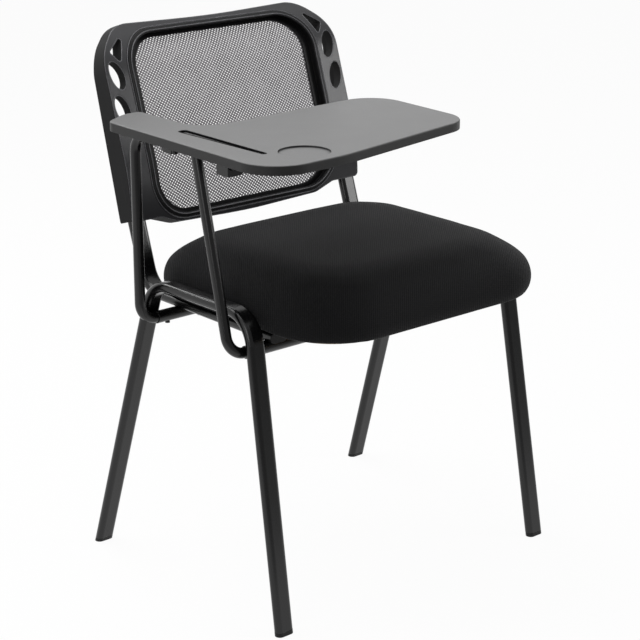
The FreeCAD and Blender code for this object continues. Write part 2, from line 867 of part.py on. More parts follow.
def prism(name, draw, *sizes):
    """An outline in the back's plane, drawn through the whole depth of the back."""
    sketch = free_sketch(f"{name}_outline")
    draw(sketch, *sizes)
    return extrude(f"{name}_prism", sketch, s.rim_depth * 8, symmetric=True)


def gentle_bend(radius, run, rise):
    """The radius of a bend in the middle of an edge, limited to half of the edge's run on each side."""
    steepness = larger(rise, -rise) / run
    return smaller(radius, run / 2 / steepness)


def wing_outline(sketch, inset):
    half = s.wing_half - inset
    low = s.socket_end + inset
    right_side = [
        (half, low, s.wing_foot_round - inset),
        (half, s.side_top, s.wing_side_round - inset),
        (s.top_corner_x - inset * MITRE, s.top_peak - inset, s.wing_top_round - inset),
    ]
    bottom = [
        (s.socket_inner - inset, low, s.socket_round + inset),
        (s.chin_x - inset, s.chin_end + inset, s.chin_round - inset),
    ]
    top_bend = gentle_bend(s.top_dip_round, s.top_corner_x, s.top_peak - s.top_dip)
    chin_bend = gentle_bend(s.chin_mid_round, s.chin_x, s.chin_end - s.chin_mid)
    top = (ZERO, s.top_dip - inset, top_bend)
    chin = (ZERO, s.chin_mid + inset, chin_bend)
    left_side = [(-x, y, radius) for x, y, radius in reversed(right_side)]
    left_bottom = [(-x, y, radius) for x, y, radius in bottom]
    trace(sketch, right_side + [top] + left_side + left_bottom + [chin] + bottom[::-1])


def ring_outline(sketch, side, head, foot, corner):
    """A rounded frame outline, set in from the ring's opening at its sides, head and foot."""
    half = s.ring_half - side
    top = s.ring_top - head
    bottom = s.ring_bottom + foot
    right_side = [(half, bottom, corner), (half, top, corner)]
    left_side = [(-half, top, corner), (-half, bottom, corner)]
    trace(sketch, right_side + left_side)


def ring(name, outset, side, head=None, foot=None):
    """A ring between an outline grown by outset and one set in from the opening's edge."""
    head = side if head is None else head
    foot = side if foot is None else foot
    outer = prism(f"{name}_outer", ring_outline, -outset, -outset, -outset, s.ring_corner + outset)
    inner = prism(f"{name}_inner", ring_outline, side, head, foot, s.ring_corner - side * MITRE)
    return cut(f"{name}_ring", outer, [inner])


def tilted_oval(sketch, x, v, sign, grow):
    """An oval hole, grown by a distance, whose upper end leans outwards on its side of the back."""
    rise = (s.oval_long / 2 + grow) * cos(s.oval_tilt)
    lean = (s.oval_long / 2 + grow) * sin(s.oval_tilt) * sign
    wide = s.oval_wide + grow * 2
    top = Vector((x + lean).number, (v + rise).number, 0)
    middle = Vector(x.number, v.number, 0)
    across = Vector(top.y - middle.y, middle.x - top.x, 0).normalize() * (wide.number / 2)
    oval = sketch.addGeometry(Part.Ellipse(top, middle + across, middle))
    sketch.exposeInternalGeometry(oval)
    long_axis = oval + 1
    end = 1 if sketch.Geometry[long_axis].StartPoint.y > v.number else 2
    tie(sketch, oval, 3, x, v)
    tie(sketch, long_axis, end, x + lean, v + rise)
    size_constraint(sketch, "Distance", oval + 2, wide)


def wing_ovals(sketch, grow):
    """The ovals of both wings, grown outwards by a distance."""
    for sign in (-1, 1):
        tilted_oval(sketch, s.oval_upper_x * sign, s.oval_upper, sign, grow)
        tilted_oval(sketch, s.oval_lower_x * sign, s.oval_lower, sign, grow)


def wing_vents(sketch, spread):
    """The three-cornered vents of both wings, spread about their middle."""
    vent = ((s.vent_top_x, s.vent_top), (s.vent_side_x, s.vent_side), (s.vent_low_x, s.vent_low))
    middle_x = (s.vent_top_x + s.vent_side_x + s.vent_low_x) / len(vent)
    middle_v = (s.vent_top + s.vent_side + s.vent_low) / len(vent)
    for sign in (-1, 1):
        corners = [
            ((middle_x + (x - middle_x) * spread) * sign, middle_v + (v - middle_v) * spread, s.vent_round)
            for x, v in vent
        ]
        trace(sketch, corners)


def collar(name, body, depth, draw, size):
    """Walls that stand behind the wing's skin, within its body, where holes are then cut."""
    room = layer(f"{name}_collar", s.skin / 2, depth)
    return common(f"{name}_collars", [body, room, prism(f"{name}_collar", draw, size)])


mesh_depth = s.flange_depth + s.flange_thick + s.weld_gap
retainer_depth = mesh_depth + s.mesh_thick + s.weld_gap
ledge_depth = retainer_depth + s.retainer_thick + s.rest_gap
ledge_rear = ledge_depth + s.ledge_thick
carrier_screw_x = s.ring_half - s.ring_step / 2
carrier_screw_reach = ledge_rear - s.flange_depth - s.flange_thick + s.carrier_screw_bite


def carrier_screw_places():
    for sign in (-1, 1):
        for i, v in enumerate((s.carrier_screw_low, s.carrier_screw_mid, s.carrier_screw_high)):
            yield f"{i}_{sign + 1}", carrier_screw_x * sign, v


def carrier_bores(name):
    """Round holes for the carrier screws, from behind the ledge to inside the carrier's bead."""
    dia = s.carrier_screw + s.bore_gap * 2
    length = carrier_screw_reach + s.bead_rise + s.side_gap
    return [
        cylinder(f"{name}_bore_{place_name}", dia, length, x, v, -ledge_rear - s.bead_rise)
        for place_name, x, v in carrier_screw_places()
    ]


def back_frame():
    """A shell with a rim, a wall and ledge round the mesh ring, and a socket with bosses for each post."""
    rear_line = [
        (s.chin_mid * 3, -s.rim_depth),
        (s.rim_turn, -s.rim_turn_depth, s.rim_turn_round),
        roll_line(s.roll_depth)[-1],
    ]
    deep = slab("rim", layer_line(ZERO), rear_line)
    body = common("wing_body", [deep, prism("wing", wing_outline, ZERO)])
    inside = layer("inside", s.skin, s.rim_depth * 2)
    hollow = common("wing_hollow", [inside, prism("wing_inner", wing_outline, s.rim_wall)])
    wall = common("ring_wall", [layer("wall", ZERO, ledge_rear), ring("wall", s.ring_wall, s.ledge_width)])
    ribs = []
    bores = carrier_bores("ledge")
    post_face = s.post_setback - s.oval_thin / 2 - s.side_gap
    post_rear = s.post_setback + s.oval_thin / 2
    for side, sign in SIDES:
        inner_face = (s.post_x - s.oval_broad / 2 - s.side_gap) * sign
        outer_face = (s.post_x + s.oval_broad / 2 + s.side_gap) * sign
        rib_x = sorted((inner_face, inner_face - s.rim_wall * sign), key=lambda size: size.number)
        rib_v = (s.socket_end + s.rim_wall / 2, s.post_top)
        ribs.append(block(f"socket_rib_{side}", rib_x, rib_v, (-post_rear, ZERO)))
        mouth_x = sorted((inner_face, outer_face), key=lambda size: size.number)
        mouth_v = (s.socket_end - s.rim_wall, s.post_top + s.side_gap)
        bores.append(block(f"socket_mouth_{side}", mouth_x, mouth_v, (-s.rim_depth * 2, -post_face)))
        for i, v in enumerate((s.back_screw_low, s.back_screw_high)):
            x = s.post_x * sign
            ribs.append(cylinder(f"back_boss_{side}_{i}", s.back_boss, post_face, x, v, -post_face))
            dia = s.back_screw + s.bore_gap * 2
            bores.append(cylinder(f"back_boss_bore_{side}_{i}", dia, s.back_screw_bite, x, v, -post_face))
    rib_room = layer("rib_room", s.skin / 2, s.rim_depth * 2)
    trimmed = common("trimmed_ribs", [fuse("socket_ribs", ribs), rib_room])
    collars = [
        collar("oval", body, s.oval_collar_depth, wing_ovals, s.collar_wall),
        collar("vent", body, s.vent_collar_depth, wing_vents, VENT_COLLAR_SPREAD),
    ]
    shell = fuse("wing_with_ribs", [cut("wing_shell", body, [hollow]), wall, trimmed] + collars)
    opening = common(
        "ring_opening",
        [
            layer("before_ledge", -s.rim_depth, ledge_depth),
            prism("opening", ring_outline, ZERO, ZERO, ZERO, s.ring_corner),
        ],
    )
    ledge = s.ledge_width
    through = prism("ledge_inner", ring_outline, ledge, ledge, ledge, s.ring_corner - ledge)
    holes = [prism("oval", wing_ovals, ZERO), prism("vent", wing_vents, 1)]
    tools = [opening, through] + holes + bores
    node("back_frame", in_back(cut("back_frame", shell, tools)))


def mesh_ring():
    flange = common(
        "carrier_flange",
        [
            layer("flange", s.flange_depth, s.flange_depth + s.flange_thick),
            ring("flange", -s.rest_gap, s.ring_side, s.ring_head, s.ring_foot),
        ],
    )
    bead = common(
        "carrier_bead",
        [
            layer("bead", -s.bead_rise, s.flange_depth + s.flange_thick),
            ring("bead", -s.rest_gap, s.ring_step),
        ],
    )
    carrier = cut("mesh_carrier", fuse("carrier", [flange, bead]), carrier_bores("carrier"))
    node("mesh_carrier", in_back(carrier))
    tuck = s.ring_side - s.mesh_tuck
    head = s.ring_head - s.mesh_tuck / 2
    foot = s.ring_foot - s.mesh_tuck
    net = common(
        "back_mesh",
        [
            layer("mesh", mesh_depth, mesh_depth + s.mesh_thick),
            prism("mesh", ring_outline, tuck, head, foot, s.ring_corner - tuck * MITRE),
        ],
    )
    node("back_mesh", in_back(net))
    inner_side = s.ring_side - s.rim_wall
    inner_head = s.ring_head - s.rim_wall / 2
    retainer = common(
        "retainer",
        [
            layer("retainer", retainer_depth, retainer_depth + s.retainer_thick),
            ring("retainer", -s.side_gap, inner_side, inner_head, s.ring_foot),
        ],
    )
    node("mesh_retainer", in_back(cut("mesh_retainer", retainer, carrier_bores("retainer"))))


def back_fasteners():
    small = []
    head_w = -ledge_rear - s.weld_gap - s.carrier_head_rise
    length = s.carrier_head_rise + s.weld_gap + carrier_screw_reach
    for name, x, v in carrier_screw_places():
        head = cylinder(f"carrier_head_{name}", s.carrier_head, s.carrier_head_rise)
        shank = cylinder(f"carrier_shank_{name}", s.carrier_screw, length)
        small.append(place(fuse(f"carrier_screw_{name}", [head, shank]), x, v, head_w))
    node("carrier_screws", in_back(group("carrier_screws", small)))
    large = []
    face = s.post_setback + s.oval_thin / 2 + s.weld_gap
    for side, sign in SIDES:
        for i, v in enumerate((s.back_screw_low, s.back_screw_high)):
            head = cylinder(f"back_head_{side}_{i}", s.back_head, s.back_head_rise)
            post_face = s.post_setback - s.oval_thin / 2 - s.side_gap
            reach = s.back_head_rise + face - post_face + s.back_screw_bite - s.side_gap
            shank = cylinder(f"back_shank_{side}_{i}", s.back_screw, reach)
            screw = fuse(f"back_screw_{side}_{i}", [head, shank])
            large.append(place(screw, s.post_x * sign, v, -face - s.back_head_rise))
    node("back_screws", in_back(group("back_screws", large)))


# Arm

bolt_x = -s.cross_half + s.arm_spigot / 2
spigot_x = -s.cross_half + s.arm_spigot


def arm_section(sketch, x, y):
    circle(sketch, x, y, s.arm_dia)
    circle(sketch, x, y, s.arm_dia - s.arm_wall * 2)


def arm_foot(body, name, top):
    """The spigot, the bend and the upright of an arm tube, from the body's own axis upwards."""
    path = sketch_in(body, f"{name}_foot_path", "XZ_Plane")
    trace(path, [(spigot_x, ZERO), (s.arm_x, ZERO, s.arm_bend), (s.arm_x, top)], closed=False)
    profile = sketch_in(body, f"{name}_foot_profile", "YZ_Plane", spigot_x)
    arm_section(profile, ZERO, ZERO)
    pipe(body, f"{name}_foot_pipe", profile, path)


def spigot_hole(name):
    return cylinder(name, s.arm_bolt + s.bore_gap * 2, s.arm_dia, bolt_x, ZERO, -s.arm_dia)


def arm_tube():
    body = new_body("arm_pipe")
    split = s.arm_split - s.cross_z
    arm_foot(body, "arm", split)
    path = sketch_in(body, "arm_run_path", "YZ_Plane", s.arm_x)
    top = arm_run_z - s.cross_z
    front = s.arm_front - rear_cross_y
    trace(path, [(ZERO, split), (ZERO, top, s.arm_bend), (front, top)], closed=False)
    profile = sketch_in(body, "arm_run_profile", "XY_Plane", split)
    arm_section(profile, s.arm_x, ZERO)
    pipe(body, "arm_run_pipe", profile, path)
    tube = cut("arm_tube", body, [spigot_hole("arm_bolt_hole")])
    node("arm_tube", in_chair(tube, ZERO, rear_cross_y, s.cross_z))


def arm_strut():
    """The front strut, coped to the underside of the top run."""
    body = new_body("strut_pipe")
    arm_foot(body, "strut", (arm_run_z - s.cross_z) / cos(s.strut_lean))
    lean = Rotation(Vector(1, 0, 0), -SIZES["strut_lean"])
    place(body, ZERO, front_cross_y, s.cross_z, lean, -s.strut_lean)
    saddle_dia = s.arm_dia + s.weld_gap * 2
    top_y = front_cross_y + (arm_run_z - s.cross_z) * tan(s.strut_lean)
    saddle = cylinder(
        "strut_saddle", saddle_dia, s.arm_dia * 4, s.arm_x, top_y - s.arm_dia * 2, arm_run_z, along="y"
    )
    hole = spigot_hole("strut_bolt_hole")
    place(hole, bolt_x, front_cross_y, s.cross_z - s.arm_dia)
    node("arm_strut", in_chair(cut("arm_strut", body, [saddle, hole])))


def arm_fasteners():
    """Bolts up through the lower walls of the cross tubes into nuts that lie in the arm's spigots."""
    bolts = []
    nuts = []
    under = -s.cross_dia / 2 - s.weld_gap
    bore = s.arm_dia / 2 - s.arm_wall
    nut_low = s.weld_gap - root(bore * bore - s.arm_bolt_flats * s.arm_bolt_flats / 3)
    tip = nut_low + s.arm_nut + s.weld_gap * 2
    for name, y in (("front", front_cross_y), ("rear", rear_cross_y)):
        head = hexagon(f"arm_bolt_head_{name}", s.arm_bolt_flats, s.arm_bolt_head, z=under - s.arm_bolt_head)
        base = under - s.arm_bolt_head / 2
        shank = cylinder(f"arm_bolt_shank_{name}", s.arm_bolt, tip - base, z=base)
        bolts.append(place(fuse(f"arm_bolt_{name}", [head, shank]), bolt_x, y, s.cross_z))
        nut = hexagon(f"arm_nut_body_{name}", s.arm_bolt_flats, s.arm_nut)
        thread = cylinder(f"arm_nut_thread_{name}", s.arm_bolt + s.bore_gap, s.arm_nut)
        nuts.append(place(cut(f"arm_nut_{name}", nut, [thread]), bolt_x, y, s.cross_z + nut_low))
    node("arm_bolts", in_chair(group("arm_bolts", bolts)))
    node("arm_nuts", in_chair(group("arm_nuts", nuts)))


def arm_end_cap():
    disc = cylinder("cap_disc", s.arm_dia, s.end_disc, y=-s.end_disc, along="y")
    stem_dia = s.arm_dia - s.arm_wall * 2 - s.plug_gap * 2
    stem = cylinder("cap_stem", stem_dia, s.end_plug, along="y")
    cap = fuse("arm_end_cap", [disc, stem])
    node("arm_end_cap", in_chair(cap, s.arm_x, s.arm_front, arm_run_z))


# Rest plate with its bumpers


def bumper_places():
    quarter = (s.plate_rear - s.plate_front) / 4
    return ("front", s.plate_front + quarter), ("rear", s.plate_rear - quarter)


def rest_plate():
    top = arm_run_z + s.plate_thick / 2
    start = s.arm_x + s.arm_dia / 2 + s.weld_gap
    plate = block(
        "plate", (start, s.plate_inner), (s.plate_front, s.plate_rear), (top - s.plate_thick, top)
    )
    holes = []
    bumpers = []
    rise = s.tablet_z - s.tablet_skin - s.rest_gap - top - s.weld_gap
    for name, y in bumper_places():
        hole_dia = s.bumper_stem + s.bore_gap * 2
        low = top - s.plate_thick * 2
        holes.append(cylinder(f"bumper_hole_{name}", hole_dia, s.plate_thick * 3, s.bumper_x, y, low))
        button = cylinder(f"bumper_button_{name}", s.bumper_dia, rise, z=s.weld_gap)
        stem_long = s.plate_thick + s.weld_gap * 2
        stem = cylinder(f"bumper_stem_{name}", s.bumper_stem, stem_long, z=-s.plate_thick)
        bumpers.append(place(fuse(f"bumper_{name}", [button, stem]), s.bumper_x, y, top))
    node("tablet_rest_plate", in_chair(cut("tablet_rest_plate", plate, holes)))
    node("rest_bumpers", in_chair(group("rest_bumpers", bumpers)))


# Hinges

HINGES = (
    ("front", s.front_block_y, s.front_block_long),
    ("rear", s.rear_block_y, s.rear_block_long),
)
BLOCK_REACH = {
    "front": (s.front_block_out, s.front_block_in, s.front_block_low),
    "rear": (s.rear_block_out, s.rear_block_in, s.rear_block_low),
}
pin_bore = s.hinge_pin + s.pin_gap * 2


def hinge_block(end, y, length):
    """A fixed block that saddles the arm's top run from outside and below and carries the pin."""
    outboard, inboard, low = BLOCK_REACH[end]
    start = y - length / 2
    body = block(
        f"block_body_{end}",
        (hinge_x - outboard, s.arm_x + inboard),
        (start, start + length),
        (hinge_z - low, hinge_z + s.block_high),
    )
    saddle_dia = s.arm_dia + s.weld_gap * 2
    saddle_y = start - length / 2
    saddle = cylinder(f"block_saddle_{end}", saddle_dia, length * 2, s.arm_x, saddle_y, arm_run_z, "y")
    bore = cylinder(f"block_bore_{end}", pin_bore, length * 2, hinge_x, saddle_y, hinge_z, "y")
    node(f"hinge_block_{end}", in_chair(cut(f"hinge_block_{end}", body, [saddle, bore])))


def leaf_screw_places(y, length):
    reach = length / 2 - s.leaf_head / 2
    return (y - reach, y + reach)


def hinge_leaf(end, y, length):
    """A plate under the tablet with two ears that straddle the fixed knuckle."""
    plate_top = s.tablet_z - s.tablet_skin - s.weld_gap
    plate_low = plate_top - s.leaf_thick
    ear_far = length / 2 + s.side_gap + s.ear_thick
    span = (y - ear_far - s.leaf_margin, y + ear_far + s.leaf_margin)
    solids = [block(f"leaf_plate_{end}", (s.leaf_outer, s.leaf_inner), span, (plate_low, plate_top))]
    for sign in (-1, 1):
        near = y + (length / 2 + s.side_gap) * sign
        low, high = sorted((near, near + s.ear_thick * sign), key=lambda size: size.number)
        inner = s.arm_x - s.arm_dia / 2 - s.side_gap * 2
        web_x = (hinge_x - s.ear_dia / 2, inner)
        middle = plate_low + s.leaf_thick / 2
        solids.append(block(f"ear_web_{end}_{sign + 1}", web_x, (low, high), (hinge_z, middle)))
        eye = cylinder(f"ear_eye_{end}_{sign + 1}", s.ear_dia, s.ear_thick, hinge_x, low, hinge_z, "y")
        solids.append(eye)
    long_bore = (ear_far + s.leaf_margin) * 2
    bore = cylinder(f"ear_bore_{end}", pin_bore, long_bore, hinge_x, span[0], hinge_z, along="y")
    holes = [bore]
    for i, screw_y in enumerate(leaf_screw_places(y, length)):
        dia = s.leaf_screw + s.bore_gap * 2
        low = plate_low - s.leaf_thick
        holes.append(cylinder(f"leaf_hole_{end}_{i}", dia, s.leaf_thick * 3, s.leaf_screw_x, screw_y, low))
    node(f"hinge_leaf_{end}", in_chair(cut(f"hinge_leaf_{end}", fuse(f"leaf_{end}", solids), holes)))


def hinge_pin(end, y, length):
    face = length / 2 + s.side_gap + s.ear_thick + s.weld_gap
    tail = s.clip_thick * 3
    shank = cylinder(f"pin_shank_{end}", s.hinge_pin, face * 2 + tail, y=-face, along="y")
    head = cylinder(f"pin_head_{end}", s.pin_head, s.pin_head_rise, y=-face - s.pin_head_rise, along="y")
    pin = fuse(f"hinge_pin_{end}", [shank, head])
    node(f"hinge_pin_{end}", in_chair(pin, hinge_x, y, hinge_z))
    ring_solid = cylinder(f"clip_ring_{end}", s.pin_head, s.clip_thick, along="y")
    hole = cylinder(f"clip_hole_{end}", pin_bore, s.clip_thick, along="y")
    clip = cut(f"clip_{end}", ring_solid, [hole])
    return place(clip, hinge_x, y + face, hinge_z)


def leaf_screws():
    screws = []
    low = s.tablet_z - s.tablet_skin - s.weld_gap * 2 - s.leaf_thick - s.leaf_head_rise
    for end, y, length in HINGES:
        for i, screw_y in enumerate(leaf_screw_places(y, length)):
            head = cylinder(f"leaf_head_{end}_{i}", s.leaf_head, s.leaf_head_rise)
            reach = s.leaf_head_rise + s.leaf_thick + s.weld_gap * 2 + s.leaf_screw_bite
            shank = cylinder(f"leaf_shank_{end}_{i}", s.leaf_screw, reach)
            screws.append(place(fuse(f"leaf_screw_{end}_{i}", [head, shank]), s.leaf_screw_x, screw_y, low))
    node("leaf_screws", in_chair(group("leaf_screws", screws)))


# Tablet


def tablet_outline(sketch, inset):
    """The tray's outline, or its inner wall at an inset, anticlockwise from the outer rear corner."""
    corners = [
        (s.outer_rear_x + inset, s.outer_rear_y - inset * SLANT_MITRE, s.outer_rear_round - inset),
        (s.outer_front_x + inset, s.outer_front_y + inset, s.outer_front_round - inset),
        (s.brow_x, s.brow_y + inset, s.brow_round - inset),
        (s.inner_front_x - inset, s.inner_front_y + inset, s.inner_front_round - inset),
        (s.inner_rear_x - inset, s.inner_rear_y - inset, s.inner_rear_round - inset),
        (s.neck_x - inset, s.neck_y - inset, s.neck_round + inset),
        (s.neck_x - inset, s.tail_y - inset, s.tail_inner_round - inset),
        (s.tail_x + inset * SLANT_MITRE, s.tail_y - inset, s.tail_round - inset),
    ]
    trace(sketch, corners)


def top_face(shape):
    """The name of the highest level face of a shape."""
    level = max(range(len(shape.Faces)), key=lambda i: shape.Faces[i].CenterOfMass.z)
    return f"Face{level + 1}"


def tablet_ribs(body, under):
    """Stiffening ribs under the wide part of the tray, from rim to rim."""
    slope = (s.inner_front_y - s.brow_y) / (s.inner_front_x - s.brow_x)
    rear_slope = (s.inner_rear_y - s.neck_y) / (s.inner_rear_x - s.neck_x)
    sketch = sketch_in(body, "rib_sketch", "XY_Plane", under - s.rib_deep)
    for x in (s.rib_outer, s.rib_mid, s.rib_inner):
        front = s.inner_front_y + (x - s.inner_front_x) * slope + s.tablet_wall / 2
        rear = s.inner_rear_y + (x - s.inner_rear_x) * rear_slope - s.tablet_wall / 2
        low = x - s.rib_thick / 2
        high = x + s.rib_thick / 2
        trace(sketch, [(low, front), (high, front), (high, rear), (low, rear)])
    return pad(body, "ribs", sketch, s.rib_deep + s.tablet_skin / 4)


def tablet_top():
    body = new_body("tray")
    low = s.tablet_z - s.tablet_rim
    outline = sketch_in(body, "tray_outline", "XY_Plane", low)
    tablet_outline(outline, ZERO)
    slab_pad = pad(body, "tray_pad", outline, s.tablet_rim)
    doc.recompute()
    edge = body.newObject("PartDesign::Fillet", "tray_edge")
    edge.Base = (slab_pad, [top_face(slab_pad.Shape)])
    edge.setExpression("Radius", s.tablet_edge.text)
    hollow = sketch_in(body, "tray_hollow_outline", "XY_Plane", low)
    tablet_outline(hollow, s.tablet_wall)
    pad(body, "tray_hollow", hollow, s.tablet_rim - s.tablet_skin, "PartDesign::Pocket", reverse=True)
    groove = sketch_in(body, "groove_outline", "XY_Plane", s.tablet_z)
    rear_half = s.groove_wide / 2
    tip_half = s.groove_tip / 2
    corners = [
        (s.groove_x - rear_half, s.groove_rear, rear_half * 0.8),
        (s.groove_x - tip_half, s.groove_front, tip_half * 0.8),
        (s.groove_x + tip_half, s.groove_front, tip_half * 0.8),
        (s.groove_x + rear_half, s.groove_rear, rear_half * 0.8),
    ]
    trace(groove, corners)
    pad(body, "groove", groove, s.groove_deep, "PartDesign::Pocket")
    cup = sketch_in(body, "cup_outline", "XY_Plane", s.tablet_z)
    circle(cup, s.cup_x, s.cup_y, s.cup_dia)
    pad(body, "cup", cup, s.cup_deep, "PartDesign::Pocket")
    under = s.tablet_z - s.tablet_skin
    tablet_ribs(body, under)
    holes = []
    for end, y, length in HINGES:
        for i, screw_y in enumerate(leaf_screw_places(y, length)):
            dia = s.leaf_screw + s.bore_gap * 2
            depth = s.leaf_screw_bite + s.bore_gap + s.tablet_skin
            start = under - s.tablet_skin
            holes.append(cylinder(f"tray_hole_{end}_{i}", dia, depth, s.leaf_screw_x, screw_y, start))
    node("tablet_top", in_chair(cut("tablet_top", body, holes)))


def build():
    for side, sign in SIDES:
        side_frame(side, sign)
        back_post(side, sign)
        for end, forward in (("front", -1), ("rear", 1)):
            foot_cap(end, forward, side, sign)
    cross_tube("front_cross_tube", front_cross_y, bolt_x)
    cross_tube("rear_cross_tube", rear_cross_y, bolt_x)
    cross_plugs()
    post_plugs()
    seat_board()
    seat_cushion()
    seat_fasteners()
    back_frame()
    mesh_ring()
    back_fasteners()
    arm_tube()
    arm_strut()
    arm_fasteners()
    arm_end_cap()
    rest_plate()
    clips = []
    for end, y, length in HINGES:
        hinge_block(end, y, length)
        hinge_leaf(end, y, length)
        clips.append(hinge_pin(end, y, length))
    node("hinge_pin_clips", in_chair(group("hinge_pin_clips", clips)))
    leaf_screws()
    tablet_top()
    doc.recompute()


def check():
    """Stops unless every object recomputed cleanly and every sub-part is a valid solid."""
    faults = [thing.Label for thing in doc.Objects if {"Invalid", "Error"} & set(thing.State)]
    for label, thing in nodes.items():
        shape = thing.Shape
        if shape.isNull() or not shape.isValid() or not shape.Solids:
            faults.append(label)
    if faults:
        raise RuntimeError(f"these objects failed: {faults}")


def write():
    os.makedirs("parts", exist_ok=True)
    for label, thing in nodes.items():
        thing.Shape.exportStep(f"parts/{label}.step")


build()
check()
write()
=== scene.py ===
import math

import bpy
from bpy.props import FloatProperty, FloatVectorProperty, IntProperty, PointerProperty
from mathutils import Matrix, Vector


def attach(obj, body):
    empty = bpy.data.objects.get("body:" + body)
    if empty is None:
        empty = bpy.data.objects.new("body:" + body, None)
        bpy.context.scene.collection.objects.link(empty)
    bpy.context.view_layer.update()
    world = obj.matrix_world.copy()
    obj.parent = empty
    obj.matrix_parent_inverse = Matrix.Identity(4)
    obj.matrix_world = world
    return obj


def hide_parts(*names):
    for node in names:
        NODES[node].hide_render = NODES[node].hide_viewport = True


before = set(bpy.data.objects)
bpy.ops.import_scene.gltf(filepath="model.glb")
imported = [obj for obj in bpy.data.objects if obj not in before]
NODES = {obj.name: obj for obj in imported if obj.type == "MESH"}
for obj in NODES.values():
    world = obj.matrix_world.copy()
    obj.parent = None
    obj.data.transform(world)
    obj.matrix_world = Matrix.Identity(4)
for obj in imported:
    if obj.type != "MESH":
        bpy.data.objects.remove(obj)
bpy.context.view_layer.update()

bl_info = {
    "name": "Tablet arm chair",
    "version": (1, 0, 0),
    "blender": (4, 5, 0),
    "location": "3D View > Sidebar > Chair",
    "description": "Dresses a stackable chair with mesh back, padded seat and fold-up writing tablet",
    "category": "Object",
}

CHAIR = "chair_frame"
TABLET = "tablet"

# The chair's symmetry plane and mid-foot line in the part's frame.
DATUM = Vector((0.0184, -0.0083, 0.0))
# The back's own frame: its origin between the posts, how far it reclines, and its profile's two bends.
BACK_ORIGIN = DATUM + Vector((0.0, 0.158, 0.532))
RECLINE = math.radians(18.1)
LUMBAR_START, LUMBAR_RADIUS = 0.100, 0.300
ROLL_START, ROLL_RADIUS = 0.2234, 0.135
MESH_DEPTH = 0.0132

# How far a thread of the mesh swings over and under the others, as a share of its thickness.
THREAD_LIFT = 0.3

# The slopes between which the seat's crown sets in, by the upward part of its normal.
CROWN_FROM, CROWN_SPAN = 0.6, 0.3
COVER_ROUNDS = 4
SMOOTH_FACTOR = 0.5
CLOTH_QUALITY = 5

# Sides of a round bead or of the groove's dark strip, and steps of that strip's half circles.
BEAD_SIDES = 12
TRIM_STEPS = 16

# The ends of the tablet's pen groove, on its top face.
GROOVE_REAR = DATUM + Vector((-0.271, -0.008, 0.712))
GROOVE_FRONT = DATUM + Vector((-0.271, -0.198, 0.712))

# Where the camera stands, what it looks at, and the shift that frames the photograph.
CAMERA_PLACE = DATUM + Vector((-1.86694, -2.15111, 1.30739))
CAMERA_TARGET = DATUM + Vector((0.0, 0.0, 0.39035))
CAMERA_SHIFT = (-0.0020, -0.0208)
SENSOR_WIDTH = 36.0
CLIP_END = 200.0

# Each lamp's name, place, target, width and height, and watts.
LAMPS = (
    ("overhead", (-0.4, 0.7, 2.9), (0.0, 0.0, 0.5), (2.4, 2.4), 52.0),
    ("left_front", (-2.9, -1.5, 1.7), (0.0, 0.0, 0.5), (0.9, 2.2), 15.0),
    ("right_front", (2.4, -2.1, 1.45), (0.1, 0.2, 0.7), (1.2, 1.1), 26.0),
    ("rear_strip", (-0.3, 2.3, 2.4), (0.0, 0.0, 0.6), (2.0, 0.35), 14.0),
)

# The floor's grey, which takes the shadow, its white, and how much of what is seen is that white.
FLOOR_GREY = (0.45, 0.45, 0.45, 1.0)
FLOOR_WHITE = 1.06
WHITE_SHARE = 0.9
# The soft light from all round, and the Y between which the white studio turns into a dim room.
SOFT_LIGHT = 0.24
DIM_ROOM = 0.15
FLOOR_SWEEP = (-1.2, -0.5)
WORLD_SWEEP = (-0.8, -0.3)

PAINTED = (
    "side_frame_right", "side_frame_left", "front_cross_tube", "rear_cross_tube", "back_post_right",
    "back_post_left", "arm_tube", "arm_strut", "tablet_rest_plate", "hinge_block_front",
    "hinge_block_rear", "hinge_leaf_front", "hinge_leaf_rear",
)
CAPS = (
    "foot_cap_front_right", "foot_cap_front_left", "foot_cap_rear_right", "foot_cap_rear_left",
    "cross_tube_plugs", "post_plugs", "arm_end_cap",
)
ZINC = ("seat_tee_nuts", "seat_bolts", "seat_washers", "carrier_screws", "arm_nuts", "leaf_screws")
BLACKENED = ("back_screws", "arm_bolts", "hinge_pin_front", "hinge_pin_rear", "hinge_pin_clips")


def colour_prop(name, description, default):
    return FloatVectorProperty(
        name=name, description=description, subtype="COLOR", size=3, min=0.0, max=1.0, default=default
    )


def length_prop(name, description, default):
    return FloatProperty(name=name, description=description, unit="LENGTH", min=0.0, default=default)


def step_prop(name, description, default):
    return FloatVectorProperty(
        name=name, description=description, unit="LENGTH", size=2, default=default
    )


class ChairFinishes(bpy.types.PropertyGroup):
    """Colours of the chair's finishes."""

    powder: colour_prop("Powder coat", "Satin black coat of the tubes", (0.0045, 0.0045, 0.0048))
    moulding: colour_prop("Back moulding", "Charcoal plastic of the back frame", (0.040, 0.040, 0.0430))
    cap: colour_prop("Caps", "Black plastic of feet, plugs and mesh ring", (0.007, 0.007, 0.0075))
    thread: colour_prop("Mesh thread", "Thread of the back mesh", (0.255, 0.243, 0.258))
    cover: colour_prop("Seat cover", "Ribbed cover of the seat", (0.0096, 0.0096, 0.0101))
    tablet: colour_prop("Tablet", "Grey plastic of the writing tablet", (0.177, 0.177, 0.178))
    plywood: colour_prop("Plywood", "Seat board", (0.45, 0.32, 0.19))
    zinc: colour_prop("Zinc", "Plated fasteners", (0.46, 0.47, 0.48))


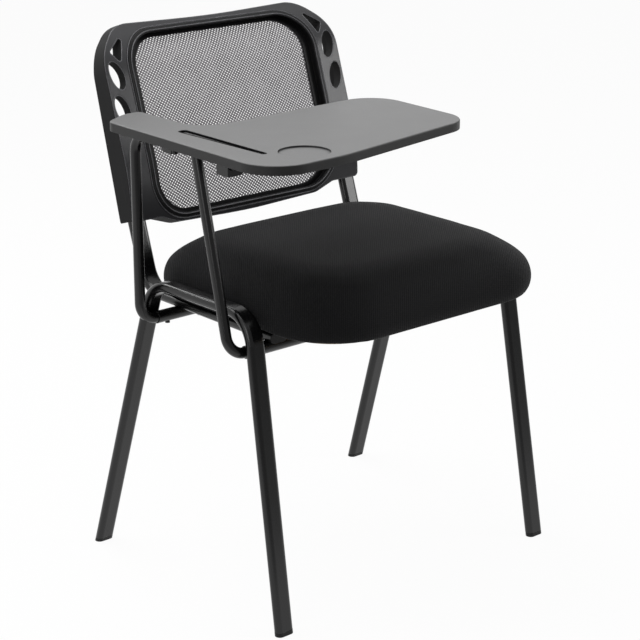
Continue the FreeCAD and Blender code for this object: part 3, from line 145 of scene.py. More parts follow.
class ChairMeshSizes(bpy.types.PropertyGroup):
    """Sizes of the back's mesh."""

    step_down: step_prop("Step down", "From one crossing to the next, falling", (0.00357, -0.00257))
    step_up: step_prop("Step up", "From one crossing to the next, rising", (0.00264, 0.00303))
    thread_wide: length_prop("Thread width", "Width of the flat thread", 0.00225)
    thread_deep: length_prop("Thread depth", "Thickness of the flat thread", 0.0008)
    half: length_prop("Half width", "Mesh edge from the middle, under the carrier", 0.1755)
    top: length_prop("Top", "Mesh edge above the back's origin", 0.2885)
    bottom: length_prop("Bottom", "Mesh edge at the foot, above the back's origin", 0.0015)
    corner: length_prop("Corner", "Corner round of the mesh", 0.056)


class ChairRingSizes(bpy.types.PropertyGroup):
    """Sizes of the two round beads beside the mesh."""

    half: length_prop("Half width", "Edge of the back's opening from its middle", 0.188)
    top: length_prop("Top", "Edge of the opening above the back's origin", 0.2965)
    bottom: FloatProperty(
        name="Bottom", description="Foot of the opening", unit="LENGTH", default=-0.004
    )
    corner: length_prop("Corner", "Corner round of the opening", 0.066)
    lip_out: length_prop("Lip", "Bead on the back frame, outwards from the edge", 0.0012)
    bead_in: length_prop("Bead", "Bead on the mesh carrier, inwards from the edge", 0.0052)
    wide: length_prop("Width", "Width of a bead", 0.0024)
    deep: length_prop("Depth", "Thickness of a bead", 0.0024)
    rise: length_prop("Rise", "Height of the carrier over the back's face", 0.0015)


class ChairSeatSizes(bpy.types.PropertyGroup):
    """How the seat's padding swells."""

    voxel: length_prop("Voxel", "Size of the padding's mesh", 0.005)
    inset: length_prop("Inset", "How far the padding starts inside its cover", 0.0005)
    cap: length_prop("Cap", "Farthest that a point may swell", 0.0040)
    pressure: FloatProperty(
        name="Pressure", description="Pressure inside the cover", min=0.0, default=6.0
    )
    steps: IntProperty(name="Steps", description="Frames of the swelling", min=1, default=20)
    ease: IntProperty(name="Ease", description="Rounds of smoothing on the crown", min=0, default=70)
    base: length_prop("Base", "Height under which the cover is held flat on its board", 0.4385)
    hem: length_prop("Hem", "Height over the base in which the smoothing sets in", 0.012)


class ChairGrooveSizes(bpy.types.PropertyGroup):
    """The black strip inside the tablet's pen groove, which stands in for the shade along its walls."""

    rear: length_prop("Rear half", "Half width of the groove at its rear end", 0.0080)
    front: length_prop("Front half", "Half width of the groove at its front end", 0.0045)
    wide: length_prop("Width", "Width of the trim", 0.0022)
    deep: length_prop("Depth", "Depth of the trim", 0.0032)
    proud: length_prop("Proud", "How far the trim stands over the tablet's face", 0.0006)


class ChairStageSizes(bpy.types.PropertyGroup):
    """Camera and floor."""

    lens: FloatProperty(name="Lens", description="Focal length", unit="CAMERA", default=107.75)
    floor: length_prop("Floor", "Half width of the floor", 40.0)


def finishes():
    """The colours that the user has set."""
    return bpy.context.scene.chair_finishes


# Shader pieces.

# How fast the mask of an edge lightened for wear and painted highlight fills, and the openness of a
# square inner corner.
EDGE_MASK_GAIN = 6.0
CORNER_OPENNESS = 0.5
# The seat cover's bias, a stitch's height on its rib, the relief's span, and the size of its mottle.
RIB_BIAS = math.radians(41.0)
STITCH_SHARE = 0.45
RELIEF_SPAN, RELIEF_MIDDLE = 0.35, 0.5
COVER_MOTTLE = 9.0
# A face counts fully as looking away from the front up to the first of these cosines, and not at all
# from the second on; such faces get painted shade.
SIDE_COSINES = (0.45, 0.85)
# How far a finish's roughness wanders.
ROUGH_SPREAD = 0.14
# Sockets of a colour mix: its two colours and its result.
MIX_LOW, MIX_HIGH, MIX_RESULT = 6, 7, 2


def link(tree, a, out, b, into):
    tree.links.new(a.outputs[out], b.inputs[into])


def math_node(tree, operation, *values):
    """A math node; each value is a number or a (node, output) pair."""
    made = tree.nodes.new("ShaderNodeMath")
    made.operation = operation
    for i, value in enumerate(values):
        if isinstance(value, tuple):
            link(tree, value[0], value[1], made, i)
        else:
            made.inputs[i].default_value = value
    return made


def noise_node(tree, vector, scale, detail=2.0):
    made = tree.nodes.new("ShaderNodeTexNoise")
    made.inputs["Detail"].default_value = detail
    tree.links.new(vector, made.inputs["Vector"])
    if isinstance(scale, tuple):
        link(tree, scale[0], scale[1], made, "Scale")
    else:
        made.inputs["Scale"].default_value = scale
    return made


def new_group(name, inputs, outputs):
    """An empty shader group; inputs are (name, default), outputs are (name, socket type)."""
    group = bpy.data.node_groups.new(name, "ShaderNodeTree")
    for label, default in inputs:
        kind = "NodeSocketVector" if isinstance(default, tuple) else "NodeSocketFloat"
        socket = group.interface.new_socket(label, in_out="INPUT", socket_type=kind)
        socket.default_value = default
    for label, kind in outputs:
        group.interface.new_socket(label, in_out="OUTPUT", socket_type=kind)
    return group, group.nodes.new("NodeGroupInput"), group.nodes.new("NodeGroupOutput")


def grain_group():
    """Fine grain of a moulded or coated surface: a height, and a slow mottle of tone."""
    group, given, out = new_group(
        "surface_grain", [("Grain", 0.0006), ("Mottle", 0.05)],
        [("Height", "NodeSocketFloat"), ("Mottle", "NodeSocketFloat")],
    )
    place = group.nodes.new("ShaderNodeTexCoord").outputs["Object"]
    fine = math_node(group, "DIVIDE", 1.0, (given, "Grain"))
    slow = math_node(group, "DIVIDE", 1.0, (given, "Mottle"))
    fine_noise = noise_node(group, place, (fine, 0), detail=1.0)
    slow_noise = noise_node(group, place, (slow, 0), detail=3.0)
    link(group, fine_noise, "Fac", out, "Height")
    link(group, slow_noise, "Fac", out, "Mottle")
    return group


def edge_group():
    """Rounded edges: their normal, and a mask of the edge where the colour is lightened as wear and
    painted highlight.
    """
    group, given, out = new_group(
        "rubbed_edge", [("Radius", 0.001), ("Patch", 0.02)],
        [("Normal", "NodeSocketVector"), ("Mask", "NodeSocketFloat")],
    )
    bevel = group.nodes.new("ShaderNodeBevel")
    bevel.samples = 4
    link(group, given, "Radius", bevel, "Radius")
    flat = group.nodes.new("ShaderNodeNewGeometry")
    dot = group.nodes.new("ShaderNodeVectorMath")
    dot.operation = "DOT_PRODUCT"
    link(group, bevel, "Normal", dot, 0)
    link(group, flat, "Normal", dot, 1)
    turned = math_node(group, "SUBTRACT", 1.0, (dot, "Value"))
    place = group.nodes.new("ShaderNodeTexCoord").outputs["Object"]
    size = math_node(group, "DIVIDE", 1.0, (given, "Patch"))
    patch = noise_node(group, place, (size, 0), detail=4.0)
    mask = math_node(group, "MULTIPLY", (turned, 0), (patch, "Fac"))
    strong = math_node(group, "MULTIPLY", (mask, 0), EDGE_MASK_GAIN)
    strong.use_clamp = True
    link(group, bevel, "Normal", out, "Normal")
    link(group, strong, 0, out, "Mask")
    return group


def crevice_group():
    """Painted shade in recesses and corners: how deep a place lies there, 0 in the open, 1 right in the
    corner.
    """
    group, given, out = new_group(
        "crevice_shade", [("Reach", 0.004), ("Open", 0.9)], [("Mask", "NodeSocketFloat")]
    )
    closed = group.nodes.new("ShaderNodeAmbientOcclusion")
    closed.samples = 8
    closed.only_local = True
    link(group, given, "Reach", closed, "Distance")
    depth = group.nodes.new("ShaderNodeMapRange")
    link(group, closed, "AO", depth, "Value")
    link(group, given, "Open", depth, "From Max")
    for label, number in (("From Min", CORNER_OPENNESS), ("To Min", 1.0), ("To Max", 0.0)):
        depth.inputs[label].default_value = number
    link(group, depth, 0, out, "Mask")
    return group


def rib_group():
    """Ribs of the seat's knitted cover, cut on the bias and broken into short stitches."""
    group, given, out = new_group(
        "ribbed_knit", [("Rib", 0.0030), ("Stitch", 0.0034)],
        [("Height", "NodeSocketFloat"), ("Tone", "NodeSocketFloat")],
    )
    place = group.nodes.new("ShaderNodeTexCoord")
    split = group.nodes.new("ShaderNodeSeparateXYZ")
    link(group, place, "Object", split, 0)
    from_x = math_node(group, "MULTIPLY", (split, "X"), math.cos(RIB_BIAS))
    run = math_node(group, "MULTIPLY_ADD", (split, "Y"), -math.sin(RIB_BIAS), (from_x, 0))
    along_x = math_node(group, "MULTIPLY", (split, "X"), math.sin(RIB_BIAS))
    along_y = math_node(group, "MULTIPLY_ADD", (split, "Y"), math.cos(RIB_BIAS), (along_x, 0))
    along = math_node(group, "ADD", (along_y, 0), (split, "Z"))
    turns = math_node(group, "DIVIDE", (run, 0), (given, "Rib"))
    wale = math_node(group, "SINE", (math_node(group, "MULTIPLY", (turns, 0), 2 * math.pi), 0))
    odd = math_node(group, "ROUND", (turns, 0))
    shift = math_node(group, "MULTIPLY", (odd, 0), 0.5)
    rows = math_node(group, "DIVIDE", (along, 0), (given, "Stitch"))
    steps = math_node(group, "ADD", (rows, 0), (shift, 0))
    stitch = math_node(group, "SINE", (math_node(group, "MULTIPLY", (steps, 0), 2 * math.pi), 0))
    half = math_node(group, "MULTIPLY", (stitch, 0), STITCH_SHARE)
    high = math_node(group, "ADD", (wale, 0), (half, 0))
    height = math_node(group, "MULTIPLY_ADD", (high, 0), RELIEF_SPAN, RELIEF_MIDDLE)
    link(group, height, 0, out, "Height")
    slow = noise_node(group, place.outputs["Object"], COVER_MOTTLE, detail=3.0)
    link(group, slow, "Fac", out, "Tone")
    return group


def side_group():
    """Faces of a piece that look away from its front: 1 on them, 0 on those that look along its front or
    against it; a mask for painted shade and a rougher finish there.
    """
    group, given, out = new_group(
        "side_face", [("Front", (0.0, 0.0, 1.0))], [("Mask", "NodeSocketFloat")]
    )
    place = group.nodes.new("ShaderNodeTexCoord")
    dot = group.nodes.new("ShaderNodeVectorMath")
    dot.operation = "DOT_PRODUCT"
    link(group, place, "Normal", dot, 0)
    link(group, given, "Front", dot, 1)
    flat = math_node(group, "ABSOLUTE", (dot, "Value"))
    mask = value_range(group, (flat, 0), 1.0, 0.0)
    mask.inputs["From Min"].default_value, mask.inputs["From Max"].default_value = SIDE_COSINES
    link(group, mask, 0, out, "Mask")
    return group


def mix_colour(tree, mask, low, high):
    """A colour between two; each is a plain colour or a (node, output) pair."""
    made = tree.nodes.new("ShaderNodeMix")
    made.data_type = "RGBA"
    link(tree, mask[0], mask[1], made, 0)
    for into, value in ((MIX_LOW, low), (MIX_HIGH, high)):
        if isinstance(value[0], bpy.types.Node):
            link(tree, value[0], value[1], made, into)
        else:
            made.inputs[into].default_value = (*value, 1.0)
    return made


def scaled(colour, factor):
    return tuple(min(1.0, c * factor) for c in colour)


def value_range(tree, value, low, high):
    """A 0 to 1 value spread between two numbers."""
    made = tree.nodes.new("ShaderNodeMapRange")
    link(tree, value[0], value[1], made, "Value")
    made.inputs["To Min"].default_value = low
    made.inputs["To Max"].default_value = high
    return made


def bump_node(tree, height, strength, distance):
    """A relief from a height, which is a (node, output) pair."""
    made = tree.nodes.new("ShaderNodeBump")
    made.inputs["Strength"].default_value = strength
    made.inputs["Distance"].default_value = distance
    link(tree, height[0], height[1], made, "Height")
    return made


def empty_tree(owner):
    """The bare node tree of a material or world."""
    owner.use_nodes = True
    owner.node_tree.nodes.clear()
    return owner.node_tree


# What a hard finish has unless it says otherwise: lengths in metres, its front as a direction, the rest
# as shares and factors; the edge, corner and side colours paint highlight and shade, and the edges also
# wear.
PLAIN_LOOK = {
    "mottle": 0.05, "bump": 0.1, "radius": 0.001, "rub": 1.6, "spread": 0.12, "metal": 0.0,
    "gloss": 0.5, "reach": 0.004, "open": 0.9, "dark": 0.4, "side": 1.0, "side_rough": 0.0,
    "front": (0.0, 0.0, 1.0),
}
# The mesh thread's and the seat cover's finish: tones and roughness from low to high, relief in metres.
THREAD_LOOK = {
    "grain": 0.0004, "mottle": 0.03, "tone": (0.7, 1.3), "rough": (0.55, 0.75), "bump": 0.3,
    "relief": 0.0002,
}
# The cover's rib tops take a lighter colour than their hollows as painted highlight.
COVER_LOOK = {
    "tone": (0.75, 1.25), "rib_top_highlight": 1.7, "rough": (0.88, 0.68), "bump": 0.5, "relief": 0.0006,
    "sheen": 0.06, "sheen_rough": 0.45, "gloss": 0.08,
}


def bare_material(name):
    """A material with one shader, and its tree."""
    material = bpy.data.materials.new(name)
    tree = empty_tree(material)
    shader = tree.nodes.new("ShaderNodeBsdfPrincipled")
    out = tree.nodes.new("ShaderNodeOutputMaterial")
    link(tree, shader, "BSDF", out, "Surface")
    return material, tree, shader


def group_node(tree, name, **values):
    made = tree.nodes.new("ShaderNodeGroup")
    made.node_tree = bpy.data.node_groups[name]
    for label, value in values.items():
        made.inputs[label].default_value = value
    return made


def hard_finish(name, colour, rough, grain, **look):
    """A moulded, coated or plated surface with grain, mottle, lighter edges for wear and painted
    highlight, and painted shade in corners and on sideways faces.
    """
    look = {**PLAIN_LOOK, **look}
    material, tree, shader = bare_material(name)
    surface = group_node(tree, "surface_grain", Grain=grain, Mottle=look["mottle"])
    edge = group_node(tree, "rubbed_edge", Radius=look["radius"])
    # Painted shade: an ambient-occlusion mask darkens the colour in recesses and corners.
    corner = group_node(tree, "crevice_shade", Reach=look["reach"], Open=look["open"])
    spread = look["spread"]
    pale, deep = scaled(colour, 1 + spread), scaled(colour, 1 - spread)
    tone = mix_colour(tree, (surface, "Mottle"), deep, pale)
    # Lighter edges: partly wear, partly painted highlight, strongest on the back moulding's rims.
    worn_and_lit_edge = mix_colour(tree, (edge, "Mask"), (tone, MIX_RESULT), scaled(colour, look["rub"]))
    shaded = mix_colour(tree, (corner, "Mask"), (worn_and_lit_edge, MIX_RESULT), scaled(colour, look["dark"]))
    slack = rough * ROUGH_SPREAD
    sheen = value_range(tree, (surface, "Mottle"), rough - slack, rough + slack)
    # Painted shade: faces that look sideways take a darker colour, and a rougher finish.
    if look["side"] < 1.0:
        side = group_node(tree, "side_face", Front=look["front"])
        shaded = mix_colour(tree, (side, "Mask"), (shaded, MIX_RESULT), scaled(colour, look["side"]))
        sheen = math_node(tree, "MULTIPLY_ADD", (side, "Mask"), look["side_rough"], (sheen, 0))
    link(tree, shaded, MIX_RESULT, shader, "Base Color")
    link(tree, sheen, 0, shader, "Roughness")
    relief = bump_node(tree, (surface, "Height"), look["bump"], grain)
    link(tree, edge, "Normal", relief, "Normal")
    link(tree, relief, "Normal", shader, "Normal")
    shader.inputs["Metallic"].default_value = look["metal"]
    shader.inputs["Specular IOR Level"].default_value = look["gloss"]
    return material


def dress(material, *names):
    """Gives the CAD nodes of these names one material."""
    for name in names:
        data = NODES[name].data
        data.materials.clear()
        data.materials.append(material)


# Mesh pieces.


def new_piece(name, points, faces, material):
    mesh = bpy.data.meshes.new(name)
    mesh.from_pydata(points, [], faces)
    mesh.validate()
    mesh.update()
    mesh.materials.append(material)
    piece = bpy.data.objects.new(name, mesh)
    bpy.context.scene.collection.objects.link(piece)
    return piece


def smooth(piece):
    for face in piece.data.polygons:
        face.use_smooth = True


def back_point(x, rise, depth):
    """A place on the back at a depth behind its front face, and the way that face looks there."""
    radius, past = LUMBAR_RADIUS, min(0.0, rise - LUMBAR_START)
    if rise > ROLL_START:
        radius, past = ROLL_RADIUS, rise - ROLL_START
    lean = math.asin(past / (radius - depth))
    back = radius - (radius - depth) * math.cos(lean)
    up = Vector((0.0, math.sin(RECLINE), math.cos(RECLINE)))
    rear = Vector((0.0, math.cos(RECLINE), -math.sin(RECLINE)))
    spot = BACK_ORIGIN + Vector((x, 0.0, 0.0)) + up * rise + rear * back
    face = -rear * math.cos(lean) + up * math.sin(lean)
    return spot, face


def in_round_rect(x, y, half, bottom, top, corner):
    middle = (top + bottom) / 2
    dx = max(abs(x) - (half - corner), 0.0)
    dy = max(abs(y - middle) - ((top - bottom) / 2 - corner), 0.0)
    return dx * dx + dy * dy <= corner * corner


def round_rect(half, bottom, top, corner, steps=12):
    """Places round a frame with round corners, anticlockwise, its sides cut to about a corner's step."""
    places = []
    length = corner * math.pi / 2 / steps
    for turn, x, y in ((0, half, top), (1, -half, top), (2, -half, bottom), (3, half, bottom)):
        middle_x = x - math.copysign(corner, x)
        middle_y = y - corner if y == top else y + corner
        for k in range(steps + 1):
            angle = math.pi / 2 * (turn + k / steps)
            places.append((middle_x + corner * math.cos(angle), middle_y + corner * math.sin(angle)))
    filled = []
    for (x0, y0), (x1, y1) in zip(places, places[1:] + places[:1]):
        parts = max(1, round(math.hypot(x1 - x0, y1 - y0) / length))
        filled += [(x0 + (x1 - x0) * k / parts, y0 + (y1 - y0) * k / parts) for k in range(parts)]
    return filled


def thread(points, faces, rings, wide, deep, sides=6):
    """Adds one flat thread through (place, face) rings to a mesh's points and faces."""
    start = len(points)
    count = len(rings)
    for i, (spot, face) in enumerate(rings):
        along = (rings[min(i + 1, count - 1)][0] - rings[max(i - 1, 0)][0]).normalized()
        across = along.cross(face).normalized()
        out = across.cross(along)
        for k in range(sides):
            turn = 2 * math.pi * k / sides
            aside = across * (math.cos(turn) * wide / 2)
            points.append(spot + aside + out * (math.sin(turn) * deep / 2))
    for i in range(count - 1):
        low = start + i * sides
        for k in range(sides):
            nxt = (k + 1) % sides
            faces.append((low + k, low + nxt, low + sides + nxt, low + sides + k))
    if rings[0] != rings[-1]:
        faces.append(tuple(start + k for k in reversed(range(sides))))
        faces.append(tuple(start + (count - 1) * sides + k for k in range(sides)))


class CHAIR_OT_shader_groups(bpy.types.Operator):
    """Builds the shader groups that the finishes share"""

    bl_idname = "chair.shader_groups"
    bl_label = "Shared surfaces"

    def execute(self, context):
        grain_group()
        edge_group()
        crevice_group()
        rib_group()
        side_group()
        return {"FINISHED"}


class CHAIR_OT_painted_tubes(bpy.types.Operator):
    """Gives tubes, plates and hinges their satin black powder coat"""

    bl_idname = "chair.painted_tubes"
    bl_label = "Painted tubes"

    def execute(self, context):
        coat = hard_finish(
            "powder_coat", finishes().powder, rough=0.20, grain=0.0007, bump=0.05, rub=2.0, gloss=0.45
        )
        dress(coat, *PAINTED)
        return {"FINISHED"}


class CHAIR_OT_caps(bpy.types.Operator):
    """Finishes foot caps, plugs and bumpers"""

    bl_idname = "chair.caps"
    bl_label = "Caps and plugs"

    def execute(self, context):
        black = finishes().cap
        plastic = hard_finish(
            "cap_plastic", black, rough=0.42, grain=0.0009, mottle=0.02, bump=0.15, gloss=0.25
        )
        dress(plastic, *CAPS)
        rubber = hard_finish(
            "bumper_rubber", black, rough=0.75, grain=0.0006, mottle=0.01, bump=0.2, gloss=0.2
        )
        dress(rubber, "rest_bumpers")
        return {"FINISHED"}


class CHAIR_OT_fasteners(bpy.types.Operator):
    """Finishes bolts, nuts, screws, pins and clips"""

    bl_idname = "chair.fasteners"
    bl_label = "Fasteners"

    def execute(self, context):
        zinc = hard_finish(
            "zinc_plate", finishes().zinc, rough=0.36, grain=0.0004, mottle=0.006, spread=0.2, metal=1.0
        )
        dress(zinc, *ZINC)
        black = hard_finish(
            "black_plate", finishes().cap, rough=0.3, grain=0.0004, mottle=0.006, gloss=0.4
        )
        dress(black, *BLACKENED)
        return {"FINISHED"}


class CHAIR_OT_back_moulding(bpy.types.Operator):
    """Finishes the back frame, the mesh carrier and the retaining ring"""

    bl_idname = "chair.back_moulding"
    bl_label = "Back moulding"

    def execute(self, context):
        # Painted highlight on the moulding's hole rims and edges; painted shade in its holes, recesses
        # and sideways faces.
        moulding = hard_finish(
            "back_moulding", finishes().moulding, rough=0.25, grain=0.0008, bump=0.12, radius=0.0035,
            rub=9.0, gloss=0.36, reach=0.024, open=0.70, dark=0.06, side=0.12, side_rough=0.6,
            front=(0.0, math.cos(RECLINE), -math.sin(RECLINE)),
        )
        dress(moulding, "back_frame")
        ring = hard_finish(
            "ring_moulding", finishes().cap, rough=0.4, grain=0.0008, radius=0.0015, rub=2.0, gloss=0.2
        )
        dress(ring, "mesh_carrier", "mesh_retainer")
        sizes = context.scene.chair_ring
        self.bead("opening_lip", sizes, -sizes.lip_out, 0.0, moulding)
        self.bead("carrier_bead", sizes, sizes.bead_in, sizes.rise, moulding)
        return {"FINISHED"}

    def bead(self, name, sizes, inset, rise, material):
        """A round bead along the edge of the back's opening."""
        half = sizes.half - inset
        path = round_rect(half, sizes.bottom + inset, sizes.top - inset, sizes.corner - inset)
        rings = [back_point(x, height, -rise) for x, height in path + path[:1]]
        points = []
        faces = []
        thread(points, faces, rings, sizes.wide, sizes.deep, sides=BEAD_SIDES)
        piece = new_piece(name, points, faces, material)
        smooth(piece)
        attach(piece, CHAIR)


class CHAIR_OT_back_mesh(bpy.types.Operator):
    """Knits the see-through back mesh"""

    bl_idname = "chair.back_mesh"
    bl_label = "Back mesh"

    def execute(self, context):
        sizes = context.scene.chair_mesh
        piece = self.knit(sizes)
        smooth(piece)
        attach(piece, CHAIR)
        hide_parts("back_mesh")
        return {"FINISHED"}

    def thread_finish(self):
        look = THREAD_LOOK
        material, tree, shader = bare_material("mesh_thread")
        surface = group_node(tree, "surface_grain", Grain=look["grain"], Mottle=look["mottle"])
        deep, pale = (scaled(finishes().thread, factor) for factor in look["tone"])
        tone = mix_colour(tree, (surface, "Mottle"), deep, pale)
        link(tree, tone, MIX_RESULT, shader, "Base Color")
        dull = value_range(tree, (surface, "Height"), *look["rough"])
        link(tree, dull, 0, shader, "Roughness")
        relief = bump_node(tree, (surface, "Height"), look["bump"], look["relief"])
        link(tree, relief, "Normal", shader, "Normal")
        return material

    def knit(self, sizes):
        """Two families of flat threads that cross over and under each other."""
        down = Vector(sizes.step_down)
        up = Vector(sizes.step_up)
        middle = Vector((0.0, (sizes.top + sizes.bottom) / 2))
        reach = int(2 * sizes.half / min(down.length, up.length))
        points = []
        faces = []
        lift = sizes.thread_deep * THREAD_LIFT
        for family in (0, 1):
            for a in range(-reach, reach + 1):
                rings = []
                for b in range(-reach, reach + 1):
                    i, j = (a, b) if family == 0 else (b, a)
                    x, y = middle + down * i + up * j
                    if not in_round_rect(x, y, sizes.half, sizes.bottom, sizes.top, sizes.corner):
                        continue
                    over = lift if (i + j + family) % 2 else -lift
                    rings.append(back_point(x, y, MESH_DEPTH - over))
                if len(rings) > 1:
                    thread(points, faces, rings, sizes.thread_wide, sizes.thread_deep)
        return new_piece("knitted_mesh", points, faces, self.thread_finish())


class CHAIR_OT_seat_cushion(bpy.types.Operator):
    """Swells the seat's padding inside its ribbed cover"""

    bl_idname = "chair.seat_cushion"
    bl_label = "Seat cushion"

    def execute(self, context):
        sizes = context.scene.chair_seat
        piece = bpy.data.objects.new("padded_seat", NODES["seat_cushion"].data.copy())
        context.scene.collection.objects.link(piece)
        remesh = piece.modifiers.new("padding", "REMESH")
        remesh.mode = "VOXEL"
        remesh.voxel_size = sizes.voxel
        self.apply(context, piece)
        self.swell(context, piece, sizes)
        self.settle(context, piece, sizes)
        smooth(piece)
        finer = piece.modifiers.new("finer", "SUBSURF")
        finer.levels = 1
        finer.render_levels = 1
        piece.data.materials.clear()
        piece.data.materials.append(self.cover())
        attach(piece, CHAIR)
        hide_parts("seat_cushion")
        return {"FINISHED"}

    def apply(self, context, piece):
        """Makes the piece's modifiers its mesh."""
        depsgraph = context.evaluated_depsgraph_get()
        mesh = bpy.data.meshes.new_from_object(piece.evaluated_get(depsgraph))
        piece.modifiers.clear()
        piece.data = mesh

    def swell(self, context, piece, sizes):
        """Presses the cover outwards as cloth, and keeps only what swells out, up to its cap."""
        mesh = piece.data
        held = piece.vertex_groups.new(name="held")
        for vertex in mesh.vertices:
            if vertex.co.z < sizes.base:
                held.add([vertex.index], 1.0, "REPLACE")
            else:
                vertex.co -= vertex.normal * sizes.inset
        begun = [(vertex.co.copy(), vertex.normal.copy()) for vertex in mesh.vertices]
        cloth = piece.modifiers.new("cover", "CLOTH")
        settings = cloth.settings
        settings.use_pressure = True
        settings.uniform_pressure_force = sizes.pressure
        settings.effector_weights.gravity = 0.0
        settings.vertex_group_mass = held.name
        settings.quality = CLOTH_QUALITY
        cloth.collision_settings.use_collision = False
        cloth.point_cache.frame_end = sizes.steps
        for step in range(1, sizes.steps + 1):
            context.scene.frame_set(step)
        self.apply(context, piece)
        for vertex, (first, outward) in zip(piece.data.vertices, begun):
            swollen = (vertex.co - first).dot(outward)
            vertex.co = first + outward * min(sizes.cap, max(0.0, swollen))
        context.scene.frame_set(1)
        piece.vertex_groups.clear()

    def settle(self, context, piece, sizes):
        """Eases the cover above its hem a little and its crown a lot, so that the top is one dome."""
        cover = piece.vertex_groups.new(name="cover")
        crown = piece.vertex_groups.new(name="crown")
        for vertex in piece.data.vertices:
            above = (vertex.co.z - sizes.base) / sizes.hem
            level = (vertex.normal.z - CROWN_FROM) / CROWN_SPAN
            cover.add([vertex.index], min(1.0, max(0.0, above)), "REPLACE")
            crown.add([vertex.index], min(1.0, max(0.0, level)), "REPLACE")
        for group, rounds in ((cover.name, COVER_ROUNDS), (crown.name, sizes.ease)):
            ease = piece.modifiers.new("ease", "SMOOTH")
            ease.factor = SMOOTH_FACTOR
            ease.iterations = rounds
            ease.vertex_group = group
        self.apply(context, piece)
        piece.vertex_groups.clear()

    def cover(self):
        look = COVER_LOOK
        colour = finishes().cover
        material, tree, shader = bare_material("seat_cover")
        knit = group_node(tree, "ribbed_knit")
        deep, pale = (scaled(colour, factor) for factor in look["tone"])
        tone = mix_colour(tree, (knit, "Tone"), deep, pale)
        # Painted highlight and shade on the ribs: their tops take a lighter colour than their hollows.
        rib_top_highlight = mix_colour(tree, (knit, "Height"), (tone, MIX_RESULT), scaled(colour, look["rib_top_highlight"]))
        link(tree, rib_top_highlight, MIX_RESULT, shader, "Base Color")
        dull = value_range(tree, (knit, "Height"), *look["rough"])
        link(tree, dull, 0, shader, "Roughness")
        relief = bump_node(tree, (knit, "Height"), look["bump"], look["relief"])
        link(tree, relief, "Normal", shader, "Normal")
        shader.inputs["Sheen Weight"].default_value = look["sheen"]
        shader.inputs["Sheen Roughness"].default_value = look["sheen_rough"]
        shader.inputs["Specular IOR Level"].default_value = look["gloss"]
        return material


class CHAIR_OT_seat_board(bpy.types.Operator):
    """Finishes the plywood board under the seat"""

    bl_idname = "chair.seat_board"
    bl_label = "Seat board"

    def execute(self, context):
        board = hard_finish(
            "plywood", finishes().plywood, rough=0.6, grain=0.0012, mottle=0.03, bump=0.2, spread=0.25
        )
        dress(board, "seat_board")
        return {"FINISHED"}


class CHAIR_OT_tablet(bpy.types.Operator):
    """Finishes the grey writing tablet"""

    bl_idname = "chair.tablet"
    bl_label = "Writing tablet"

    def execute(self, context):
        # Painted shade on the tablet's sideways rim, and in its groove and cup recesses.
        grey = hard_finish(
            "tablet_plastic", finishes().tablet, rough=0.46, grain=0.0006, mottle=0.08, bump=0.12,
            radius=0.0015, rub=1.3, spread=0.03, gloss=0.3, reach=0.007, open=1.0, dark=0.1, side=0.13,
        )
        dress(grey, "tablet_top")
        self.groove_shade_strip(context.scene.chair_groove)
        return {"FINISHED"}

    def groove_shade_strip(self, sizes):
        """A black strip along the edge of the pen groove: a dark piece that stands in for the shade
        there.
        """
        up = Vector((0.0, 0.0, 1.0))
        level = GROOVE_REAR.z - sizes.deep / 2 + sizes.proud
        rings = []
        ends = ((GROOVE_REAR, sizes.rear, 0.0), (GROOVE_FRONT, sizes.front, math.pi))
        for end, radius, start in ends:
            bend = radius - sizes.wide / 2
            middle = end.y - radius if start == 0.0 else end.y + radius
            for k in range(TRIM_STEPS + 1):
                angle = start + math.pi * k / TRIM_STEPS
                x, y = end.x + bend * math.cos(angle), middle + bend * math.sin(angle)
                rings.append((Vector((x, y, level)), up))
        rings.append(rings[0])
        points = []
        faces = []
        thread(points, faces, rings, sizes.wide, sizes.deep, sides=BEAD_SIDES)
        black = hard_finish(
            "groove_trim_rubber", finishes().cap, rough=0.8, grain=0.0005, mottle=0.01, gloss=0.03
        )
        piece = new_piece("groove_shade_strip", points, faces, black)
        smooth(piece)
        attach(piece, TABLET)


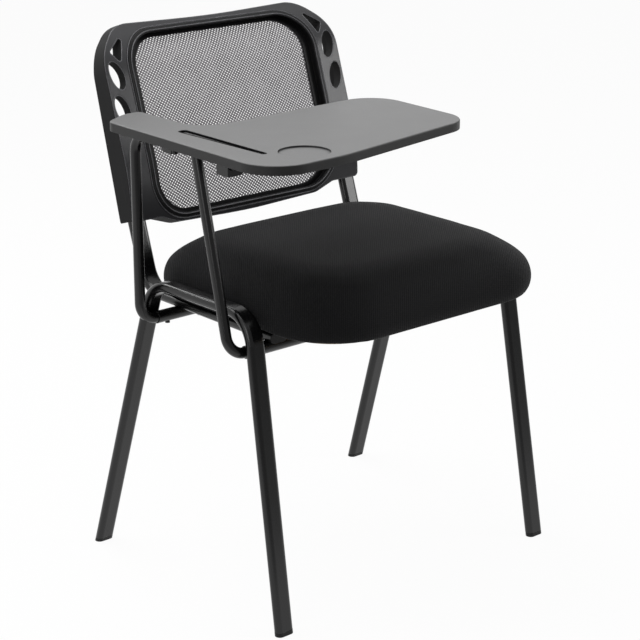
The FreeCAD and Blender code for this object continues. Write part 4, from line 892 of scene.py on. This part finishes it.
class CHAIR_OT_stage(bpy.types.Operator):
    """Sets the floor, the light and the camera"""

    bl_idname = "chair.stage"
    bl_label = "Stage"

    def execute(self, context):
        scene = context.scene
        sizes = scene.chair_stage
        scene.view_settings.view_transform = "Standard"
        self.floor(sizes.floor)
        self.world(scene)
        for lamp in LAMPS:
            self.lamp(*lamp)
        self.camera(scene, sizes)
        return {"FINISHED"}

    def seen(self, tree, sweep):
        """1 for rays that see the background: from the camera, through glass, and in gloss as lit."""
        path = tree.nodes.new("ShaderNodeLightPath")
        gloss = math_node(tree, "MULTIPLY", (path, "Is Glossy Ray"), (sweep, 0))
        first = math_node(tree, "MAXIMUM", (path, "Is Camera Ray"), (gloss, 0))
        return math_node(tree, "MAXIMUM", (first, 0), (path, "Is Transmission Ray"))

    def sweep(self, tree, place, span):
        """How white the studio is: 1 beside and behind the chair, a dim room in front of it."""
        split = tree.nodes.new("ShaderNodeSeparateXYZ")
        tree.links.new(place, split.inputs[0])
        made = value_range(tree, (split, "Y"), DIM_ROOM, 1.0)
        made.interpolation_type = "SMOOTHSTEP"
        made.inputs["From Min"].default_value, made.inputs["From Max"].default_value = span
        return made

    def blend(self, tree, share, first, second, out):
        """Mixes two shaders by a share into the tree's output."""
        mix = tree.nodes.new("ShaderNodeMixShader")
        for into, node in enumerate((share, first, second)):
            link(tree, node, 0, mix, into)
        link(tree, mix, 0, tree.nodes.new(out), "Surface")

    def floor(self, half):
        material = bpy.data.materials.new("pale_floor")
        tree = empty_tree(material)
        lit = tree.nodes.new("ShaderNodeBsdfDiffuse")
        lit.inputs["Color"].default_value = FLOOR_GREY
        white = tree.nodes.new("ShaderNodeEmission")
        white.inputs["Strength"].default_value = FLOOR_WHITE
        place = tree.nodes.new("ShaderNodeNewGeometry").outputs["Position"]
        seen = self.seen(tree, self.sweep(tree, place, FLOOR_SWEEP))
        share = math_node(tree, "MULTIPLY", (seen, 0), WHITE_SHARE)
        self.blend(tree, share, lit, white, "ShaderNodeOutputMaterial")
        corners = [(-half, -half, 0.0), (half, -half, 0.0), (half, half, 0.0), (-half, half, 0.0)]
        plane = new_piece("floor", corners, [(0, 1, 2, 3)], material)

    def world(self, scene):
        scene.world = bpy.data.worlds.new("studio")
        tree = empty_tree(scene.world)
        soft = tree.nodes.new("ShaderNodeBackground")
        white = tree.nodes.new("ShaderNodeBackground")
        for light, strength in ((soft, SOFT_LIGHT), (white, 1.0)):
            light.inputs["Color"].default_value = (1.0, 1.0, 1.0, 1.0)
            light.inputs["Strength"].default_value = strength
        place = tree.nodes.new("ShaderNodeTexCoord").outputs["Generated"]
        seen = self.seen(tree, self.sweep(tree, place, WORLD_SWEEP))
        self.blend(tree, seen, soft, white, "ShaderNodeOutputWorld")

    def lamp(self, name, place, target, size, watts):
        light = bpy.data.lights.new(name, "AREA")
        light.shape = "RECTANGLE"
        light.size, light.size_y = size
        light.energy = watts
        lamp = bpy.data.objects.new(name, light)
        bpy.context.scene.collection.objects.link(lamp)
        lamp.location = place
        lamp.rotation_mode = "QUATERNION"
        lamp.rotation_quaternion = (Vector(target) - Vector(place)).to_track_quat("-Z", "Y")

    def camera(self, scene, sizes):
        data = bpy.data.cameras.new("camera")
        data.sensor_width = SENSOR_WIDTH
        data.lens = sizes.lens
        data.shift_x, data.shift_y = CAMERA_SHIFT
        data.clip_end = CLIP_END
        camera = bpy.data.objects.new("camera", data)
        scene.collection.objects.link(camera)
        camera.location = CAMERA_PLACE
        camera.rotation_mode = "QUATERNION"
        camera.rotation_quaternion = (CAMERA_TARGET - CAMERA_PLACE).to_track_quat("-Z", "Y")
        scene.camera = camera


GROUPS = (
    ("chair_finishes", ChairFinishes),
    ("chair_mesh", ChairMeshSizes),
    ("chair_ring", ChairRingSizes),
    ("chair_seat", ChairSeatSizes),
    ("chair_groove", ChairGrooveSizes),
    ("chair_stage", ChairStageSizes),
)
OPERATORS = (
    CHAIR_OT_shader_groups,
    CHAIR_OT_painted_tubes,
    CHAIR_OT_caps,
    CHAIR_OT_fasteners,
    CHAIR_OT_back_moulding,
    CHAIR_OT_back_mesh,
    CHAIR_OT_seat_cushion,
    CHAIR_OT_seat_board,
    CHAIR_OT_tablet,
    CHAIR_OT_stage,
)


class CHAIR_PT_panel(bpy.types.Panel):
    """Lists the chair's pieces"""

    bl_idname = "CHAIR_PT_panel"
    bl_label = "Tablet arm chair"
    bl_space_type = "VIEW_3D"
    bl_region_type = "UI"
    bl_category = "Chair"

    def draw(self, context):
        for operator in OPERATORS:
            self.layout.operator(operator.bl_idname)


def register():
    for name, group in GROUPS:
        bpy.utils.register_class(group)
        setattr(bpy.types.Scene, name, PointerProperty(type=group))
    for operator in OPERATORS:
        bpy.utils.register_class(operator)
    bpy.utils.register_class(CHAIR_PT_panel)


def unregister():
    bpy.utils.unregister_class(CHAIR_PT_panel)
    for operator in reversed(OPERATORS):
        bpy.utils.unregister_class(operator)
    for name, group in reversed(GROUPS):
        delattr(bpy.types.Scene, name)
        bpy.utils.unregister_class(group)


def main():
    register()
    bpy.ops.chair.shader_groups()
    bpy.ops.chair.painted_tubes()
    bpy.ops.chair.caps()
    bpy.ops.chair.fasteners()
    bpy.ops.chair.back_moulding()
    bpy.ops.chair.back_mesh()
    bpy.ops.chair.seat_cushion()
    bpy.ops.chair.seat_board()
    bpy.ops.chair.tablet()
    bpy.ops.chair.stage()


if __name__ == "__main__":
    main()
